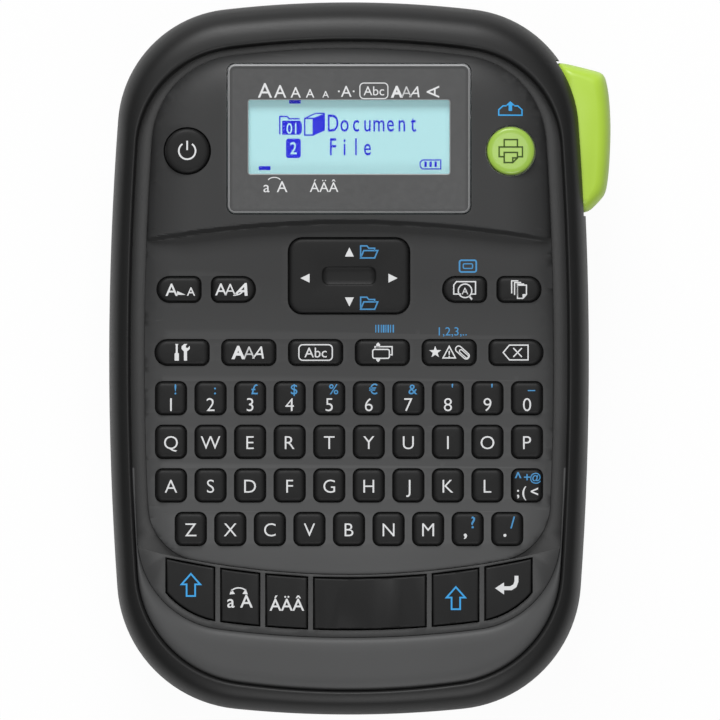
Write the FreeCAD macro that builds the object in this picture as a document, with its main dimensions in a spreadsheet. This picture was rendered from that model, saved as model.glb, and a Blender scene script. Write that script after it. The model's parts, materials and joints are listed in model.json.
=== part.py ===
import FreeCAD, Part
import math
import os
import Sketcher

# Label maker, millimetres.
# X runs across the body, Y from the return key's end to the display's end, Z up from the table.
# The origin is on the table, under the middle of the body, on its plane of symmetry.

SIZES = [
    # overall body
    ("case_split", 29.0, "height of the parting plane over the table"),
    ("frame_height", 21.5, "front frame, from the parting plane to its rim"),
    ("trough_floor", 18.0, "floor round the deck, over the parting plane"),
    ("deck_thick", 3.0, "keyboard deck over the trough floor"),
    ("hood_rise", 3.8, "display hood over the deck"),
    ("body_top", 92.2, "upper end of the outline on the axis"),
    ("body_bottom", 91.9, "lower end of the outline on the axis"),
    ("rim_side", 5.6, "width of the frame's rim at the sides"),
    ("rim_top", 10.25, "width of the frame's rim at the display end"),
    ("rim_bottom", 6.4, "width of the frame's rim at the lower end"),
    ("rim_roll", 5.0, "rounding of the rim's outer edge"),
    ("end_radius_top", 280.5, "crown of the display end"),
    ("end_radius_bottom", 291.0, "crown of the lower end"),
    ("side_radius", 829.0, "crown of the sides"),
    ("corner_top", 31.0, "outline's corners at the display end"),
    ("corner_bottom", 33.9, "outline's corners at the lower end"),
    ("wall", 2.4, "shell walls"),
    ("plate", 1.6, "trough plate, board and thin plates"),
    ("base_inset", 4.5, "how far the base draws in from the parting line"),
    ("base_edge", 2.0, "rounding of the rear case's lower edge"),
    # keyboard deck
    ("trench_side", 3.8, "gap between deck and rim at the sides"),
    ("trench_top", 2.05, "gap between deck and rim at the display end"),
    ("deck_side", 1.7, "deck beyond the widest key row"),
    ("deck_bottom", 55.5, "lower end of the deck on the axis"),
    ("deck_radius_top", 240.0, "crown of the deck's upper end"),
    ("deck_radius_bottom", 217.0, "crown of the deck's lower end"),
    ("deck_corner_top", 23.0, "deck's upper corners"),
    ("deck_corner_bottom", 14.9, "deck's lower corners"),
    ("deck_ledge", 0.6, "ledge that the deck sits on"),
    ("chin_top", 71.8, "chin's upper edge on the axis"),
    ("chin_radius", 262.0, "crown of the chin's upper edge"),
    ("chin_corner", 24.0, "corners of the chin's upper edge"),
    ("chin_rise", 3.1, "chin over the trough floor"),
    ("hood_edge", 35.0, "hood's lower edge on the axis"),
    ("hood_radius", 290.0, "crown of the hood's lower edge"),
    ("hood_roll", 3.0, "roll of the hood's edges"),
    # keys
    ("key_pitch", 10.18, "from key to key in a row"),
    ("row_pitch", 11.22, "from row to row"),
    ("digit_row", -10.1, "centre line of the digit keys"),
    ("key_width", 8.36, "opening for a letter key, across"),
    ("key_length", 8.9, "opening for a letter key, along"),
    ("key_corner", 2.0, "corners of a key opening"),
    ("key_gap", 0.4, "gap between a cap and its opening"),
    ("key_lip", 0.45, "flange of a key beyond its opening"),
    ("key_rise", 1.0, "cap over the surface round it"),
    ("key_travel", 0.8, "travel of a key"),
    ("key_edge", 0.5, "rounding of a cap's upper edge"),
    ("flange_thick", 1.2, "flange of a key"),
    ("plunger", 4.0, "plunger under a key, across"),
    ("running_gap", 0.3, "gap between pieces that move apart"),
    ("function_row", 1.67, "centre line of the function keys"),
    ("function_pitch", 17.19, "from function key to function key"),
    ("function_width", 14.3, "opening for a function key, across"),
    ("function_length", 7.0, "opening for a function key, along"),
    ("upper_row", 17.9, "centre line of the four upper keys"),
    ("upper_width", 11.7, "opening for an upper key, across"),
    ("upper_inner", 29.75, "inner upper keys from the axis"),
    ("upper_outer", 43.75, "outer upper keys from the axis"),
    ("nav_row", 21.4, "centre of the navigation pad"),
    ("nav_width", 31.6, "opening for the navigation pad, across"),
    ("nav_length", 20.0, "opening for the navigation pad, along"),
    ("nav_corner", 2.8, "corners of the navigation pad"),
    ("nav_dish", 0.9, "depth of the pad's central dish"),
    ("nav_rod_radius", 0.4, "crossed rods that the navigation pad rocks on"),
    ("nav_rod_length", 6.0, "length of a crossed rod"),
    ("nav_axis", 0.9, "rocking axes over the mat"),
    ("button_row", 53.5, "centres of the two round buttons"),
    ("button_offset", 41.6, "round buttons from the axis"),
    ("power_radius", 6.15, "opening for the power button"),
    ("print_radius", 6.55, "opening for the print button"),
    ("band_margin", 1.9, "rib below the six band keys"),
    ("band_gap", 0.7, "rib between the deck and the band keys"),
    ("band_rib", 1.2, "rib between two band keys"),
    ("band_end", 47.3, "outer ends of the band keys"),
    ("band_rise", 1.6, "ribs of the key band over the trough floor"),
    ("hood_skin", 2.0, "top skin of the hood"),
    ("mat_drop", 2.6, "trough plate's underside over the keypad mat"),
    ("mat_thick", 1.2, "rubber keypad mat"),
    ("inner_radius_top", 230.0, "crown of the rim's inner edge, display end"),
    ("inner_radius_bottom", 205.0, "crown of the rim's inner edge, lower end"),
    ("inner_corner_top", 26.8, "rim's inner corners, display end"),
    ("inner_corner_bottom", 30.2, "rim's inner corners, lower end"),
    ("chin_side", 0.6, "chin's upper edge inside the rim at the sides"),
    ("chin_tip", 22.0, "tips of the chin, below the middle of the body"),
    ("band_start", 44.0, "upper end of the key band, below the middle of the body"),
    ("seam", 0.1, "gap between pieces that are fixed side by side"),
    ("lever_window", 14.0, "depth of the side window that the cutter lever stands in"),
    ("lever_low", 35.5, "lower end of the lever's window"),
    ("lever_top", 78.5, "upper end of the lever's window"),
    ("lever_head", 44.5, "top of the lever's window, over the table"),
    ("lever_foot", 19.5, "bottom of the lever's window, over the table"),
    ("shelf_depth", 13.0, "collar of the trough plate cleared for the lever, in from the side wall"),
    ("boss_radius", 3.2, "screw bosses"),
    ("screw_radius", 1.1, "case screw shanks"),
    ("screw_bite", 8.0, "length of a case screw in its front boss"),
    ("hood_side", 0.8, "hood inside the deck's edge"),
    ("cavity_half", 49.0, "room under the hood, across from the axis"),
    ("cavity_low", 38.0, "lower end of the room under the hood"),
    ("cavity_top", 71.0, "upper end of the room under the hood"),
    ("cavity_corner", 6.0, "corners of the room under the hood"),
    ("post_radius", 1.8, "posts that hold the main board"),
    ("post_bore", 4.0, "depth of the screw hole in a board post"),
    ("board_screw", 0.8, "board screw shanks"),
    ("board_half", 48.2, "main board, across from the axis"),
    ("board_top", 62.0, "main board, upper end"),
    ("board_low", 66.0, "main board, lower end"),
    ("board_corner", 12.0, "corners of the main board"),
    ("nav_drop", 1.5, "flange of the navigation pad under the deck"),
    ("dish_width", 13.3, "dish of the navigation pad, across"),
    ("dish_length", 4.4, "dish of the navigation pad, along"),
    ("band_cap", 1.1, "lower keys over their ribs"),
    ("band_lip", 0.3, "flange of a lower key under each rib"),
    ("battery_half", 53.6, "battery bay, across from the axis"),
    ("battery_low", 60.0, "lower end of the battery bay, below the middle of the body"),
    ("battery_top", -13.0, "upper end of the battery bay"),
    ("battery_roof", 19.0, "roof of the battery bay over the table"),
    ("door_half", 53.0, "cassette bay's opening, across from the axis"),
    ("door_low", 22.0, "lower end of the cassette bay's opening"),
    ("door_top", 76.0, "upper end of the cassette bay's opening"),
    ("door_thick", 2.0, "both doors"),
    ("door_sink", 0.3, "doors over the table"),
    ("barrel_radius", 1.15, "hinge barrel along a door's edge"),
    ("pin_radius", 0.6, "hinge pins"),
    ("pin_play", 0.06, "play of a hinge pin in its barrel"),
    ("pin_length", 3.0, "hinge pin inside the barrel, and as much in the case"),
    ("head_radius", 2.3, "heads of the case screws"),
    ("head_depth", 6.0, "depth of a case screw's seat"),
    ("head_thick", 1.8, "head of a case screw"),
    ("head_thin", 0.8, "head of a board screw"),
    ("drive_radius", 0.9, "drive recess of a screw"),
    ("drive_depth", 1.2, "depth of a drive recess"),
    ("slot_width", 4.6, "tape exit, across"),
    ("slot_low", 4.5, "lower end of the tape exit"),
    ("slot_high", 23.5, "upper end of the tape exit"),
    ("tape_line", 38.2, "plane of the tape on its way out"),
    ("jack_depth", 13.0, "power inlet, length"),
    ("jack_width", 9.0, "power inlet, width"),
    ("jack_height", 10.5, "power inlet, height"),
    ("jack_row", 8.0, "centre of the power inlet"),
    ("jack_low", 10.0, "underside of the power inlet"),
    ("cell_radius", 7.25, "battery cells"),
    ("cell_length", 50.5, "battery cells, with the nub"),
    ("cell_nub", 1.0, "nub of a cell"),
    ("nub_radius", 2.75, "nub of a cell, radius"),
    ("socket_radius", 2.75, "bore of the power inlet"),
    ("socket_depth", 9.0, "depth of the power inlet"),
    ("centre_pin", 0.85, "centre pin of the power inlet"),
    ("cassette_left", -46.5, "left side of the cassette"),
    ("cassette_right", 27.0, "right side of the cassette"),
    ("cassette_low", 25.5, "lower side of the cassette"),
    ("cassette_top", 73.0, "upper side of the cassette"),
    ("cassette_deep", 20.5, "cassette, thickness"),
    ("cassette_wall", 1.2, "walls of the cassette"),
    ("mouth", 8.0, "gap in the cassette's side that the tape leaves by"),
    ("gear_module", 0.6, "gears' module"),
    ("gear_thick", 3.0, "gears, thickness"),
    ("backlash", 0.1, "gap at a tooth's flank"),
    ("pinion_teeth", 12, "motor pinion"),
    ("idler_teeth", 36, "idler"),
    ("platen_teeth", 22, "platen gear"),
    ("takeup_teeth", 24, "ribbon take-up gear"),
    ("takeup_bearing", 165, "take-up gear's bearing from the idler, degrees"),
    ("platen_radius", 4.0, "rubber platen"),
    ("platen_row", 64.0, "centre of the platen"),
    ("motor_x", 40.0, "motor, across from the axis"),
    ("motor_row", 39.0, "centre of the motor"),
    ("motor_radius", 9.5, "motor can"),
    ("motor_length", 17.0, "motor can, length"),
    ("chassis_gap", 0.6, "chassis over the cassette"),
    ("chassis_thick", 2.0, "chassis plate"),
    ("chassis_left", -48.0, "left edge of the chassis"),
    ("chassis_right", 48.0, "right edge of the chassis"),
    ("chassis_low_edge", 15.5, "lower edge of the chassis"),
    ("chassis_top_edge", 79.0, "upper edge of the chassis"),
    ("foot_radius", 2.2, "feet of the chassis"),
    ("gear_lift", 1.0, "gears over the chassis"),
    ("shaft_play", 0.05, "running clearance of a shaft"),
    ("axle_radius", 1.5, "axles of the idler, platen and lever"),
    ("spindle_radius", 2.0, "spindle of the ribbon take-up"),
    ("motor_shaft", 1.0, "motor shaft"),
    ("motor_bite", 5.0, "length of the motor's shaft in the can"),
    ("platen_foot", 3.6, "lower end of platen, head and blades over the table"),
    ("head_width", 4.0, "print head, across"),
    ("head_length", 10.0, "print head, along"),
    ("cut_row", 71.0, "line of the cut"),
    ("blade_back", 2.0, "blade seat, along"),
    ("blade_thick", 0.8, "cutter blade"),
    ("blade_tip", 41.8, "edge of the resting blade, across"),
    ("blade_edge_depth", 2.0, "blade beyond its carriage"),
    ("roll_radius", 17.0, "full tape roll"),
    ("roll_bore", 5.0, "bore of the tape roll's core"),
    ("supply_radius", 8.0, "ribbon supply spool"),
    ("supply_bore", 3.0, "bore of the supply spool"),
    ("takeup_radius", 6.0, "ribbon take-up spool"),
    ("lever_gap", 0.5, "lever in its window, top and bottom"),
    ("lever_depth", 9.2, "inner face of the cutter lever, in from the side wall"),
    ("lever_tip", 76.4, "upper end of the cutter lever"),
    ("lever_round", 2.5, "upright edges of the lever"),
    ("lever_edge", 1.5, "top and bottom edges of the lever"),
    ("pivot_depth", 7.2, "lever's pivot, in from the side wall"),
    ("pivot_row", 41.5, "lever's pivot, along"),
    ("pin_foot", 14.0, "lower end of the lever's pin over the table"),
    ("column_radius", 3.0, "column that holds the lever's pin"),
    ("well_radius", 4.2, "spring well in the lever, kept inside its inner face"),
    ("well_depth", 5.5, "depth of the spring well"),
    ("spring_step", 0.4, "return spring, growth in radius per half turn"),
    ("spring_tall", 4.0, "return spring, height of the strip"),
    ("spring_turns", 5, "return spring, half turns"),
    ("spring_strip", 0.3, "return spring, thickness of the strip"),
    ("carriage_low", 19.8, "underside of the blade's carriage over the table"),
    ("divider_1", -33.8, "first rib between the six lower keys, across"),
    ("divider_2", -22.2, "second rib, across"),
    ("divider_3", -9.9, "third rib, across"),
    ("divider_4", 20.65, "fourth rib, across"),
    ("divider_5", 34.2, "fifth rib, across"),
    ("pin_bite", 2.7, "hinge pin inside the barrel"),
    ("contact_half", 4.1, "half width of a battery contact"),
    ("axle_proud", 0.5, "idler axle over its gear"),
    ("snug", 0.02, "play of a part pressed on a shaft"),
    ("lever_heel", 38.4, "inner side of the lever, along"),
    ("lever_nose", 2.6, "flat end of the lever, across"),
    # display
    ("window_row", 56.65, "centre of the display window"),
    ("window_width", 63.0, "display window, across"),
    ("window_length", 39.0, "display window, along"),
    ("window_corner", 2.2, "corners of the window"),
    ("window_thick", 1.6, "display window"),
    ("window_proud", 0.2, "window over the hood"),
    ("window_gap", 0.25, "gap round the window"),
    ("view_width", 55.0, "opening behind the window, across"),
    ("view_length", 22.0, "opening behind the window, along"),
    ("view_row", 57.1, "centre of the display"),
    ("lcd_margin", 1.6, "display module beyond the opening behind the window"),
    ("lcd_thick", 3.0, "display module"),
]


class Size:
    """A size that carries its value and the sheet expression that it comes from."""

    def __init__(self, value, text):
        self.value = float(value)
        self.text = text

    @staticmethod
    def of(number):
        if isinstance(number, Size):
            return number
        return Size(number, repr(float(number)))

    def __add__(self, other):
        other = Size.of(other)
        return Size(self.value + other.value, f"({self.text} + {other.text})")

    def __sub__(self, other):
        other = Size.of(other)
        return Size(self.value - other.value, f"({self.text} - {other.text})")

    def __mul__(self, other):
        other = Size.of(other)
        return Size(self.value * other.value, f"({self.text} * {other.text})")

    def __truediv__(self, other):
        other = Size.of(other)
        return Size(self.value / other.value, f"({self.text} / {other.text})")

    def __radd__(self, other):
        return Size.of(other) + self

    def __rsub__(self, other):
        return Size.of(other) - self

    def __rmul__(self, other):
        return Size.of(other) * self

    def __neg__(self):
        return Size.of(0) - self


doc = FreeCAD.newDocument("label_maker")
sheet = doc.addObject("Spreadsheet::Sheet", "Sizes")
SIZE = {}
for row, (alias, value, meaning) in enumerate(SIZES, start=1):
    sheet.set(f"A{row}", str(value))
    sheet.setAlias(f"A{row}", alias)
    sheet.set(f"B{row}", meaning)
    SIZE[alias] = Size(value, f"Sizes.{alias}")
doc.recompute()
sub_parts = []


def size(name):
    """The named size."""
    return SIZE[name]


def vec(x=0.0, y=0.0, z=0.0):
    """A point from sizes or numbers."""
    return FreeCAD.Vector(*(Size.of(number).value for number in (x, y, z)))


def bind(thing, **properties):
    """Bind properties of a document object to the sheet."""
    for name, number in properties.items():
        thing.setExpression(name.replace("__", "."), Size.of(number).text)


def body(name, x=0, y=0, z=0, turn=0.0):
    """A new sub-part, placed at x, y, z and turned about Z by turn degrees."""
    made = doc.addObject("PartDesign::Body", name)
    made.Label = name
    made.AllowCompound = True
    made.Placement = FreeCAD.Placement(vec(x, y, z), FreeCAD.Rotation(FreeCAD.Vector(0, 0, 1), turn))
    bind(made, Placement__Base__x=x, Placement__Base__y=y, Placement__Base__z=z)
    sub_parts.append(made)
    return made


def feature(name, shape):
    """A sub-part whose shape is made with Part's own functions."""
    made = doc.addObject("Part::Feature", name)
    made.Label = name
    made.Shape = shape
    made.Placement = shape.Placement
    sub_parts.append(made)
    return made


def sketch(owner, z=0):
    """A sketch on the sub-part's XY plane, lifted to z."""
    made = owner.newObject("Sketcher::SketchObject", "Sketch")
    plane = next(item for item in owner.Origin.OriginFeatures if item.Role == "XY_Plane")
    made.AttachmentSupport = [(plane, "")]
    made.MapMode = "FlatFace"
    made.AttachmentOffset = FreeCAD.Placement(vec(0, 0, z), FreeCAD.Rotation())
    bind(made, AttachmentOffset__Base__z=z)
    return made


def rule(drawing, number, kind, *where):
    """Add a constraint whose value is bound to the sheet."""
    number = Size.of(number)
    index = drawing.addConstraint(Sketcher.Constraint(kind, *where, number.value))
    drawing.setExpression(f"Constraints[{index}]", number.text)


def ring(drawing, radius, x=0, y=0):
    """A circle in a sketch."""
    index = drawing.addGeometry(Part.Circle(vec(x, y), FreeCAD.Vector(0, 0, 1), Size.of(radius).value))
    rule(drawing, radius, "Radius", index)
    rule(drawing, x, "DistanceX", -1, 1, index, 3)
    rule(drawing, y, "DistanceY", -1, 1, index, 3)


def box(drawing, width, length, x=0, y=0, corner=None, left=None, right=None):
    """A rectangle centred on x, y, with rounded corners where a radius is given."""
    width, length, x, y = (Size.of(number) for number in (width, length, x, y))
    x0, x1 = x - width / 2, x + width / 2
    y0, y1 = y - length / 2, y + length / 2
    left = left or corner
    right = right or corner
    if left is None:
        corners = [vec(x0, y0), vec(x1, y0), vec(x1, y1), vec(x0, y1)]
        sides = [Part.LineSegment(corners[i], corners[(i + 1) % 4]) for i in range(4)]
        first = drawing.addGeometry(sides)[0]
        for i in range(4):
            drawing.addConstraint(Sketcher.Constraint("Coincident", first + i, 2, first + (i + 1) % 4, 1))
        for i, way in enumerate(("Horizontal", "Vertical", "Horizontal", "Vertical")):
            drawing.addConstraint(Sketcher.Constraint(way, first + i))
        rule(drawing, x0, "DistanceX", -1, 1, first, 1)
        rule(drawing, x1, "DistanceX", -1, 1, first, 2)
        rule(drawing, y0, "DistanceY", -1, 1, first, 1)
        rule(drawing, y1, "DistanceY", -1, 1, first + 2, 1)
        return
    radii = [Size.of(number) for number in (right, right, left, left)]
    middles = [
        (x1 - radii[0], y0 + radii[0], 270), (x1 - radii[1], y1 - radii[1], 0),
        (x0 + radii[2], y1 - radii[2], 90), (x0 + radii[3], y0 + radii[3], 180),
    ]
    arcs = []
    for radius, (cx, cy, start) in zip(radii, middles):
        circle = Part.Circle(vec(cx, cy), FreeCAD.Vector(0, 0, 1), radius.value)
        arcs.append(Part.ArcOfCircle(circle, math.radians(start), math.radians(start + 90)))
    first = drawing.addGeometry(arcs)[0]
    for i in range(4):
        line = Part.LineSegment(arcs[i].EndPoint, arcs[(i + 1) % 4].StartPoint)
        index = drawing.addGeometry(line)
        drawing.addConstraint(Sketcher.Constraint("Tangent", first + i, 2, index, 1))
        drawing.addConstraint(Sketcher.Constraint("Tangent", index, 2, first + (i + 1) % 4, 1))
        drawing.addConstraint(Sketcher.Constraint("Vertical" if i % 2 == 0 else "Horizontal", index))
    for i, (radius, (cx, cy, start)) in enumerate(zip(radii, middles)):
        rule(drawing, radius, "Radius", first + i)
    rule(drawing, middles[0][0], "DistanceX", -1, 1, first, 3)
    rule(drawing, middles[0][1], "DistanceY", -1, 1, first, 3)
    rule(drawing, middles[2][0], "DistanceX", -1, 1, first + 2, 3)
    rule(drawing, middles[2][1], "DistanceY", -1, 1, first + 2, 3)


class Outline:
    """A closed outline of eight tangent arcs, symmetric about the Y axis."""

    def __init__(self, half, top, bottom, radii, side):
        self.half, self.top, self.bottom = half, top, bottom
        self.radius_top, self.radius_bottom, self.corner_top, self.corner_bottom = radii
        self.side = side

    def corner(self, sign):
        """The centres of the end arc, the side arc and the corner arc, as numbers."""
        end = (self.top if sign > 0 else self.bottom).value
        radius = (self.radius_top if sign > 0 else self.radius_bottom).value
        corner = (self.corner_top if sign > 0 else self.corner_bottom).value
        side = self.side.value
        one = FreeCAD.Vector(0, sign * (end - radius), 0)
        two = FreeCAD.Vector(self.half.value - side, 0, 0)
        reach_one, reach_two = radius - corner, side - corner
        apart = (two - one).Length
        along = (reach_one ** 2 - reach_two ** 2 + apart ** 2) / (2 * apart)
        aside = math.sqrt(max(reach_one ** 2 - along ** 2, 0.0))
        unit = (two - one) / apart
        normal = FreeCAD.Vector(-unit.y, unit.x, 0)
        found = [one + unit * along + normal * aside * way for way in (1, -1)]
        return one, two, max(found, key=lambda point: point.x + sign * point.y)

    def arcs(self, inset=0.0):
        """The eight arcs, anticlockwise from the right side, drawn in by inset."""
        inset = Size.of(inset).value
        top_end, side, top_corner = self.corner(1)
        low_end, side, low_corner = self.corner(-1)
        left = FreeCAD.Vector(-side.x, 0, 0)

        def mirrored(point):
            return FreeCAD.Vector(-point.x, point.y, 0)

        def reach(centre, corner, radius):
            return centre + (corner - centre).normalize() * (radius - inset)

        side_radius = self.side.value
        p = [
            reach(side, low_corner, side_radius), reach(side, top_corner, side_radius),
            reach(top_end, top_corner, self.radius_top.value),
        ]
        p += [mirrored(p[2]), mirrored(p[1]), mirrored(p[0])]
        low = reach(low_end, low_corner, self.radius_bottom.value)
        p += [mirrored(low), low]
        middles = [
            side, top_corner, top_end, mirrored(top_corner), left, mirrored(low_corner), low_end, low_corner,
        ]
        made = []
        for i, middle in enumerate(middles):
            start, end = p[i], p[(i + 1) % 8]
            a0 = math.atan2(start.y - middle.y, start.x - middle.x)
            a1 = math.atan2(end.y - middle.y, end.x - middle.x)
            circle = Part.Circle(middle, FreeCAD.Vector(0, 0, 1), (start - middle).Length)
            made.append(Part.ArcOfCircle(circle, a0, a1 if a1 > a0 else a1 + 2 * math.pi))
        return made

    def draw(self, drawing, inset=0):
        """Draw the outline in a sketch, drawn in by inset, with its radii bound to the sheet."""
        inset = Size.of(inset)
        first = drawing.addGeometry(self.arcs(inset))[0]
        for i in range(8):
            drawing.addConstraint(Sketcher.Constraint("Tangent", first + i, 2, first + (i + 1) % 8, 1))
        radii = [
            self.side, self.corner_top, self.radius_top, self.corner_top,
            self.side, self.corner_bottom, self.radius_bottom, self.corner_bottom,
        ]
        for i, radius in enumerate(radii):
            rule(drawing, radius - inset, "Radius", first + i)
        for i, centre in ((0, self.half - self.side), (4, self.side - self.half)):
            rule(drawing, centre, "DistanceX", -1, 1, first + i, 3)
            rule(drawing, 0, "DistanceY", -1, 1, first + i, 3)
        rule(drawing, self.top - self.radius_top, "DistanceY", -1, 1, first + 2, 3)
        rule(drawing, self.radius_bottom - self.bottom, "DistanceY", -1, 1, first + 6, 3)
        rule(drawing, 0, "DistanceX", -1, 1, first + 2, 3)
        rule(drawing, 0, "DistanceX", -1, 1, first + 6, 3)

    def prism(self, inset, low, high):
        """The outline as a solid between two heights."""
        edges = [arc.toShape() for arc in self.arcs(inset)]
        face = Part.Face(Part.Wire(edges))
        face.translate(vec(0, 0, low))
        return face.extrude(vec(0, 0, high) - vec(0, 0, low))


def pad(owner, drawing, length):
    """Raise a sketch by length."""
    made = owner.newObject("PartDesign::Pad", "Pad")
    made.Profile = drawing
    made.Length = Size.of(length).value
    bind(made, Length=length)
    drawing.Visibility = False
    return made


def pocket(owner, drawing, length, up=False):
    """Cut a sketch down by length, or up from its plane."""
    made = owner.newObject("PartDesign::Pocket", "Pocket")
    made.Profile = drawing
    made.Length = Size.of(length).value
    made.Reversed = up
    made.Refine = False
    bind(made, Length=length)
    return made


def row_of(owner, original, drawing, count, length):
    """Repeat a feature along X, centred pattern or not as its sketch says."""
    made = owner.newObject("PartDesign::LinearPattern", "Row")
    made.Originals = [original]
    made.Direction = (drawing, ["H_Axis"])
    made.Occurrences = count
    made.Refine = False
    made.Length = Size.of(length).value
    bind(made, Length=length)
    owner.Tip = made
    return made


def round_edges(owner, radius, chosen):
    """Round the edges of the sub-part that chosen picks."""
    doc.recompute()
    base = owner.Tip
    names = [f"Edge{i}" for i, edge in enumerate(base.Shape.Edges, start=1) if chosen(edge)]
    made = owner.newObject("PartDesign::Fillet", "Rounding")
    made.Base = (base, names)
    made.Radius = Size.of(radius).value
    bind(made, Radius=radius)
    return made


def flat_at(height):
    """Picks the edges that lie flat at a height over the sub-part's own plane."""
    level = Size.of(height).value

    def chosen(edge):
        bounds = edge.BoundBox
        return abs(bounds.ZMin - level) < 1e-4 and abs(bounds.ZMax - level) < 1e-4

    return chosen


def block(owner, width, length, height, x=0, y=0, z=0, cut=False):
    """Add or cut a block centred on x, y that rises from z."""
    kind = "PartDesign::SubtractiveBox" if cut else "PartDesign::AdditiveBox"
    made = owner.newObject(kind, "Block")
    width, length = Size.of(width), Size.of(length)
    made.Length, made.Width, made.Height = width.value, length.value, Size.of(height).value
    made.Placement.Base = vec(x - width / 2, y - length / 2, z)
    bind(made, Length=width, Width=length, Height=height)
    bind(made, Placement__Base__x=x - width / 2, Placement__Base__y=y - length / 2, Placement__Base__z=z)
    return made


def post(owner, radius, height, x=0, y=0, z=0, cut=False):
    """Add or cut a round post that rises from z."""
    kind = "PartDesign::SubtractiveCylinder" if cut else "PartDesign::AdditiveCylinder"
    made = owner.newObject(kind, "Post")
    made.Radius, made.Height = Size.of(radius).value, Size.of(height).value
    made.Placement.Base = vec(x, y, z)
    bind(made, Radius=radius, Height=height)
    bind(made, Placement__Base__x=x, Placement__Base__y=y, Placement__Base__z=z)
    return made

# Screw places, across and along: the case screws stand clear of the two bays, and the board's
# posts stand between the rows of keys.
CASE_SCREWS = [(-38.0, -72.0), (38.0, -72.0), (-28.0, 81.0), (22.0, 81.0)]
POSTS = [(-44.0, 9.8), (44.0, 9.8), (-30.0, 30.5), (30.0, 30.5), (-14.0, -51.2), (14.0, -51.2)]
CHASSIS_FEET = [(-38.0, 18.0), (38.0, 18.0), (-35.0, 77.0), (4.0, 78.2)]

# Centres of the tape roll and of the ribbon supply spool in the cassette.
ROLL = (-27.0, 50.0)
SUPPLY = (7.0, 36.5)


# ---- heights over the table ----
SPLIT = size("case_split")
TROUGH = SPLIT + size("trough_floor")
TROUGH_UNDER = TROUGH - size("plate")
DECK = TROUGH + size("deck_thick")
HOOD = DECK + size("hood_rise")
HOOD_UNDER = HOOD - size("hood_skin")
CAP_TOP = DECK + size("key_rise")
BAND = TROUGH + size("band_rise")
MAT_TOP = TROUGH_UNDER - size("mat_drop")
MAT_UNDER = MAT_TOP - size("mat_thick")
BOARD_UNDER = MAT_UNDER - size("plate")
PLUNGER_END = MAT_TOP + size("running_gap") + size("key_travel")

# ---- outlines ----
DECK_HALF = 5 * size("key_pitch") + size("deck_side")
INNER_HALF = DECK_HALF + size("trench_side")
CASE_HALF = INNER_HALF + size("rim_side")
CASE = Outline(
    CASE_HALF, size("body_top"), size("body_bottom"),
    (size("end_radius_top"), size("end_radius_bottom"), size("corner_top"), size("corner_bottom")),
    size("side_radius"),
)
INNER = Outline(
    INNER_HALF, size("body_top") - size("rim_top"), size("body_bottom") - size("rim_bottom"),
    (size("inner_radius_top"), size("inner_radius_bottom"),
     size("inner_corner_top"), size("inner_corner_bottom")),
    size("side_radius"),
)
DECK_LINE = Outline(
    DECK_HALF, INNER.top - size("trench_top"), size("deck_bottom"),
    (size("deck_radius_top"), size("deck_radius_bottom"),
     size("deck_corner_top"), size("deck_corner_bottom")),
    size("side_radius"),
)
CHIN_LINE = Outline(
    INNER_HALF - size("chin_side"), INNER.top, size("chin_top"),
    (size("inner_radius_top"), size("chin_radius"), size("inner_corner_top"), size("chin_corner")),
    size("side_radius"),
)


def disc_below_deck(offset, low, high):
    """A wide round solid whose lower edge is the deck's lower edge, moved out by offset."""
    radius = size("deck_radius_bottom") + offset
    centre = vec(0, size("deck_radius_bottom") - size("deck_bottom"), low)
    return Part.makeCylinder(radius.value, Size.of(high - low).value, centre)


def slab(x0, x1, y0, y1, z0, z1):
    """A block between two corners."""
    span = vec(x1, y1, z1) - vec(x0, y0, z0)
    return Part.makeBox(span.x, span.y, span.z, vec(x0, y0, z0))


# ---- front frame: the black rim with the side walls under it ----
frame = body("front_frame", z=SPLIT)
drawing = sketch(frame)
CASE.draw(drawing)
pad(frame, drawing, size("frame_height"))
round_edges(frame, size("rim_roll"), flat_at(size("frame_height")))
drawing = sketch(frame)
CASE.draw(drawing, size("wall"))
pocket(frame, drawing, TROUGH_UNDER - SPLIT, up=True)
drawing = sketch(frame)
INNER.draw(drawing)
pocket(frame, drawing, size("frame_height"), up=True)
block(frame, size("lever_window") * 2, size("lever_top") - size("lever_low"), size("lever_head") - SPLIT,
      CASE_HALF, (size("lever_top") + size("lever_low")) / 2, cut=True)

# ---- trough plate: the dark floor round the deck, with the ribs between the six lower keys ----
BAND_DIVIDERS = [size(f"divider_{number}").value for number in range(1, 6)]


def band_region(margin, low, high):
    """The crescent that holds the six lower keys, drawn in by margin."""
    ends = size("band_end") - margin
    shape = CHIN_LINE.prism(size("band_margin") + margin, low, high)
    shape = shape.cut(disc_below_deck(size("band_gap") + margin, low - 1, high + 1))
    return shape.common(slab(-ends, ends, -size("chin_top"), 0 - size("band_start"), low, high))


def band_slot(number, margin, low, high):
    """The part of the crescent that belongs to one of the six keys."""
    half = size("band_rib") / 2 + margin
    reach = size("band_end") + 1
    left = BAND_DIVIDERS[number - 1] + half if number else -reach
    right = BAND_DIVIDERS[number] - half if number < len(BAND_DIVIDERS) else reach
    return band_region(margin, low, high).common(slab(left, right, -size("chin_top"), 0, low, high))


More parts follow.
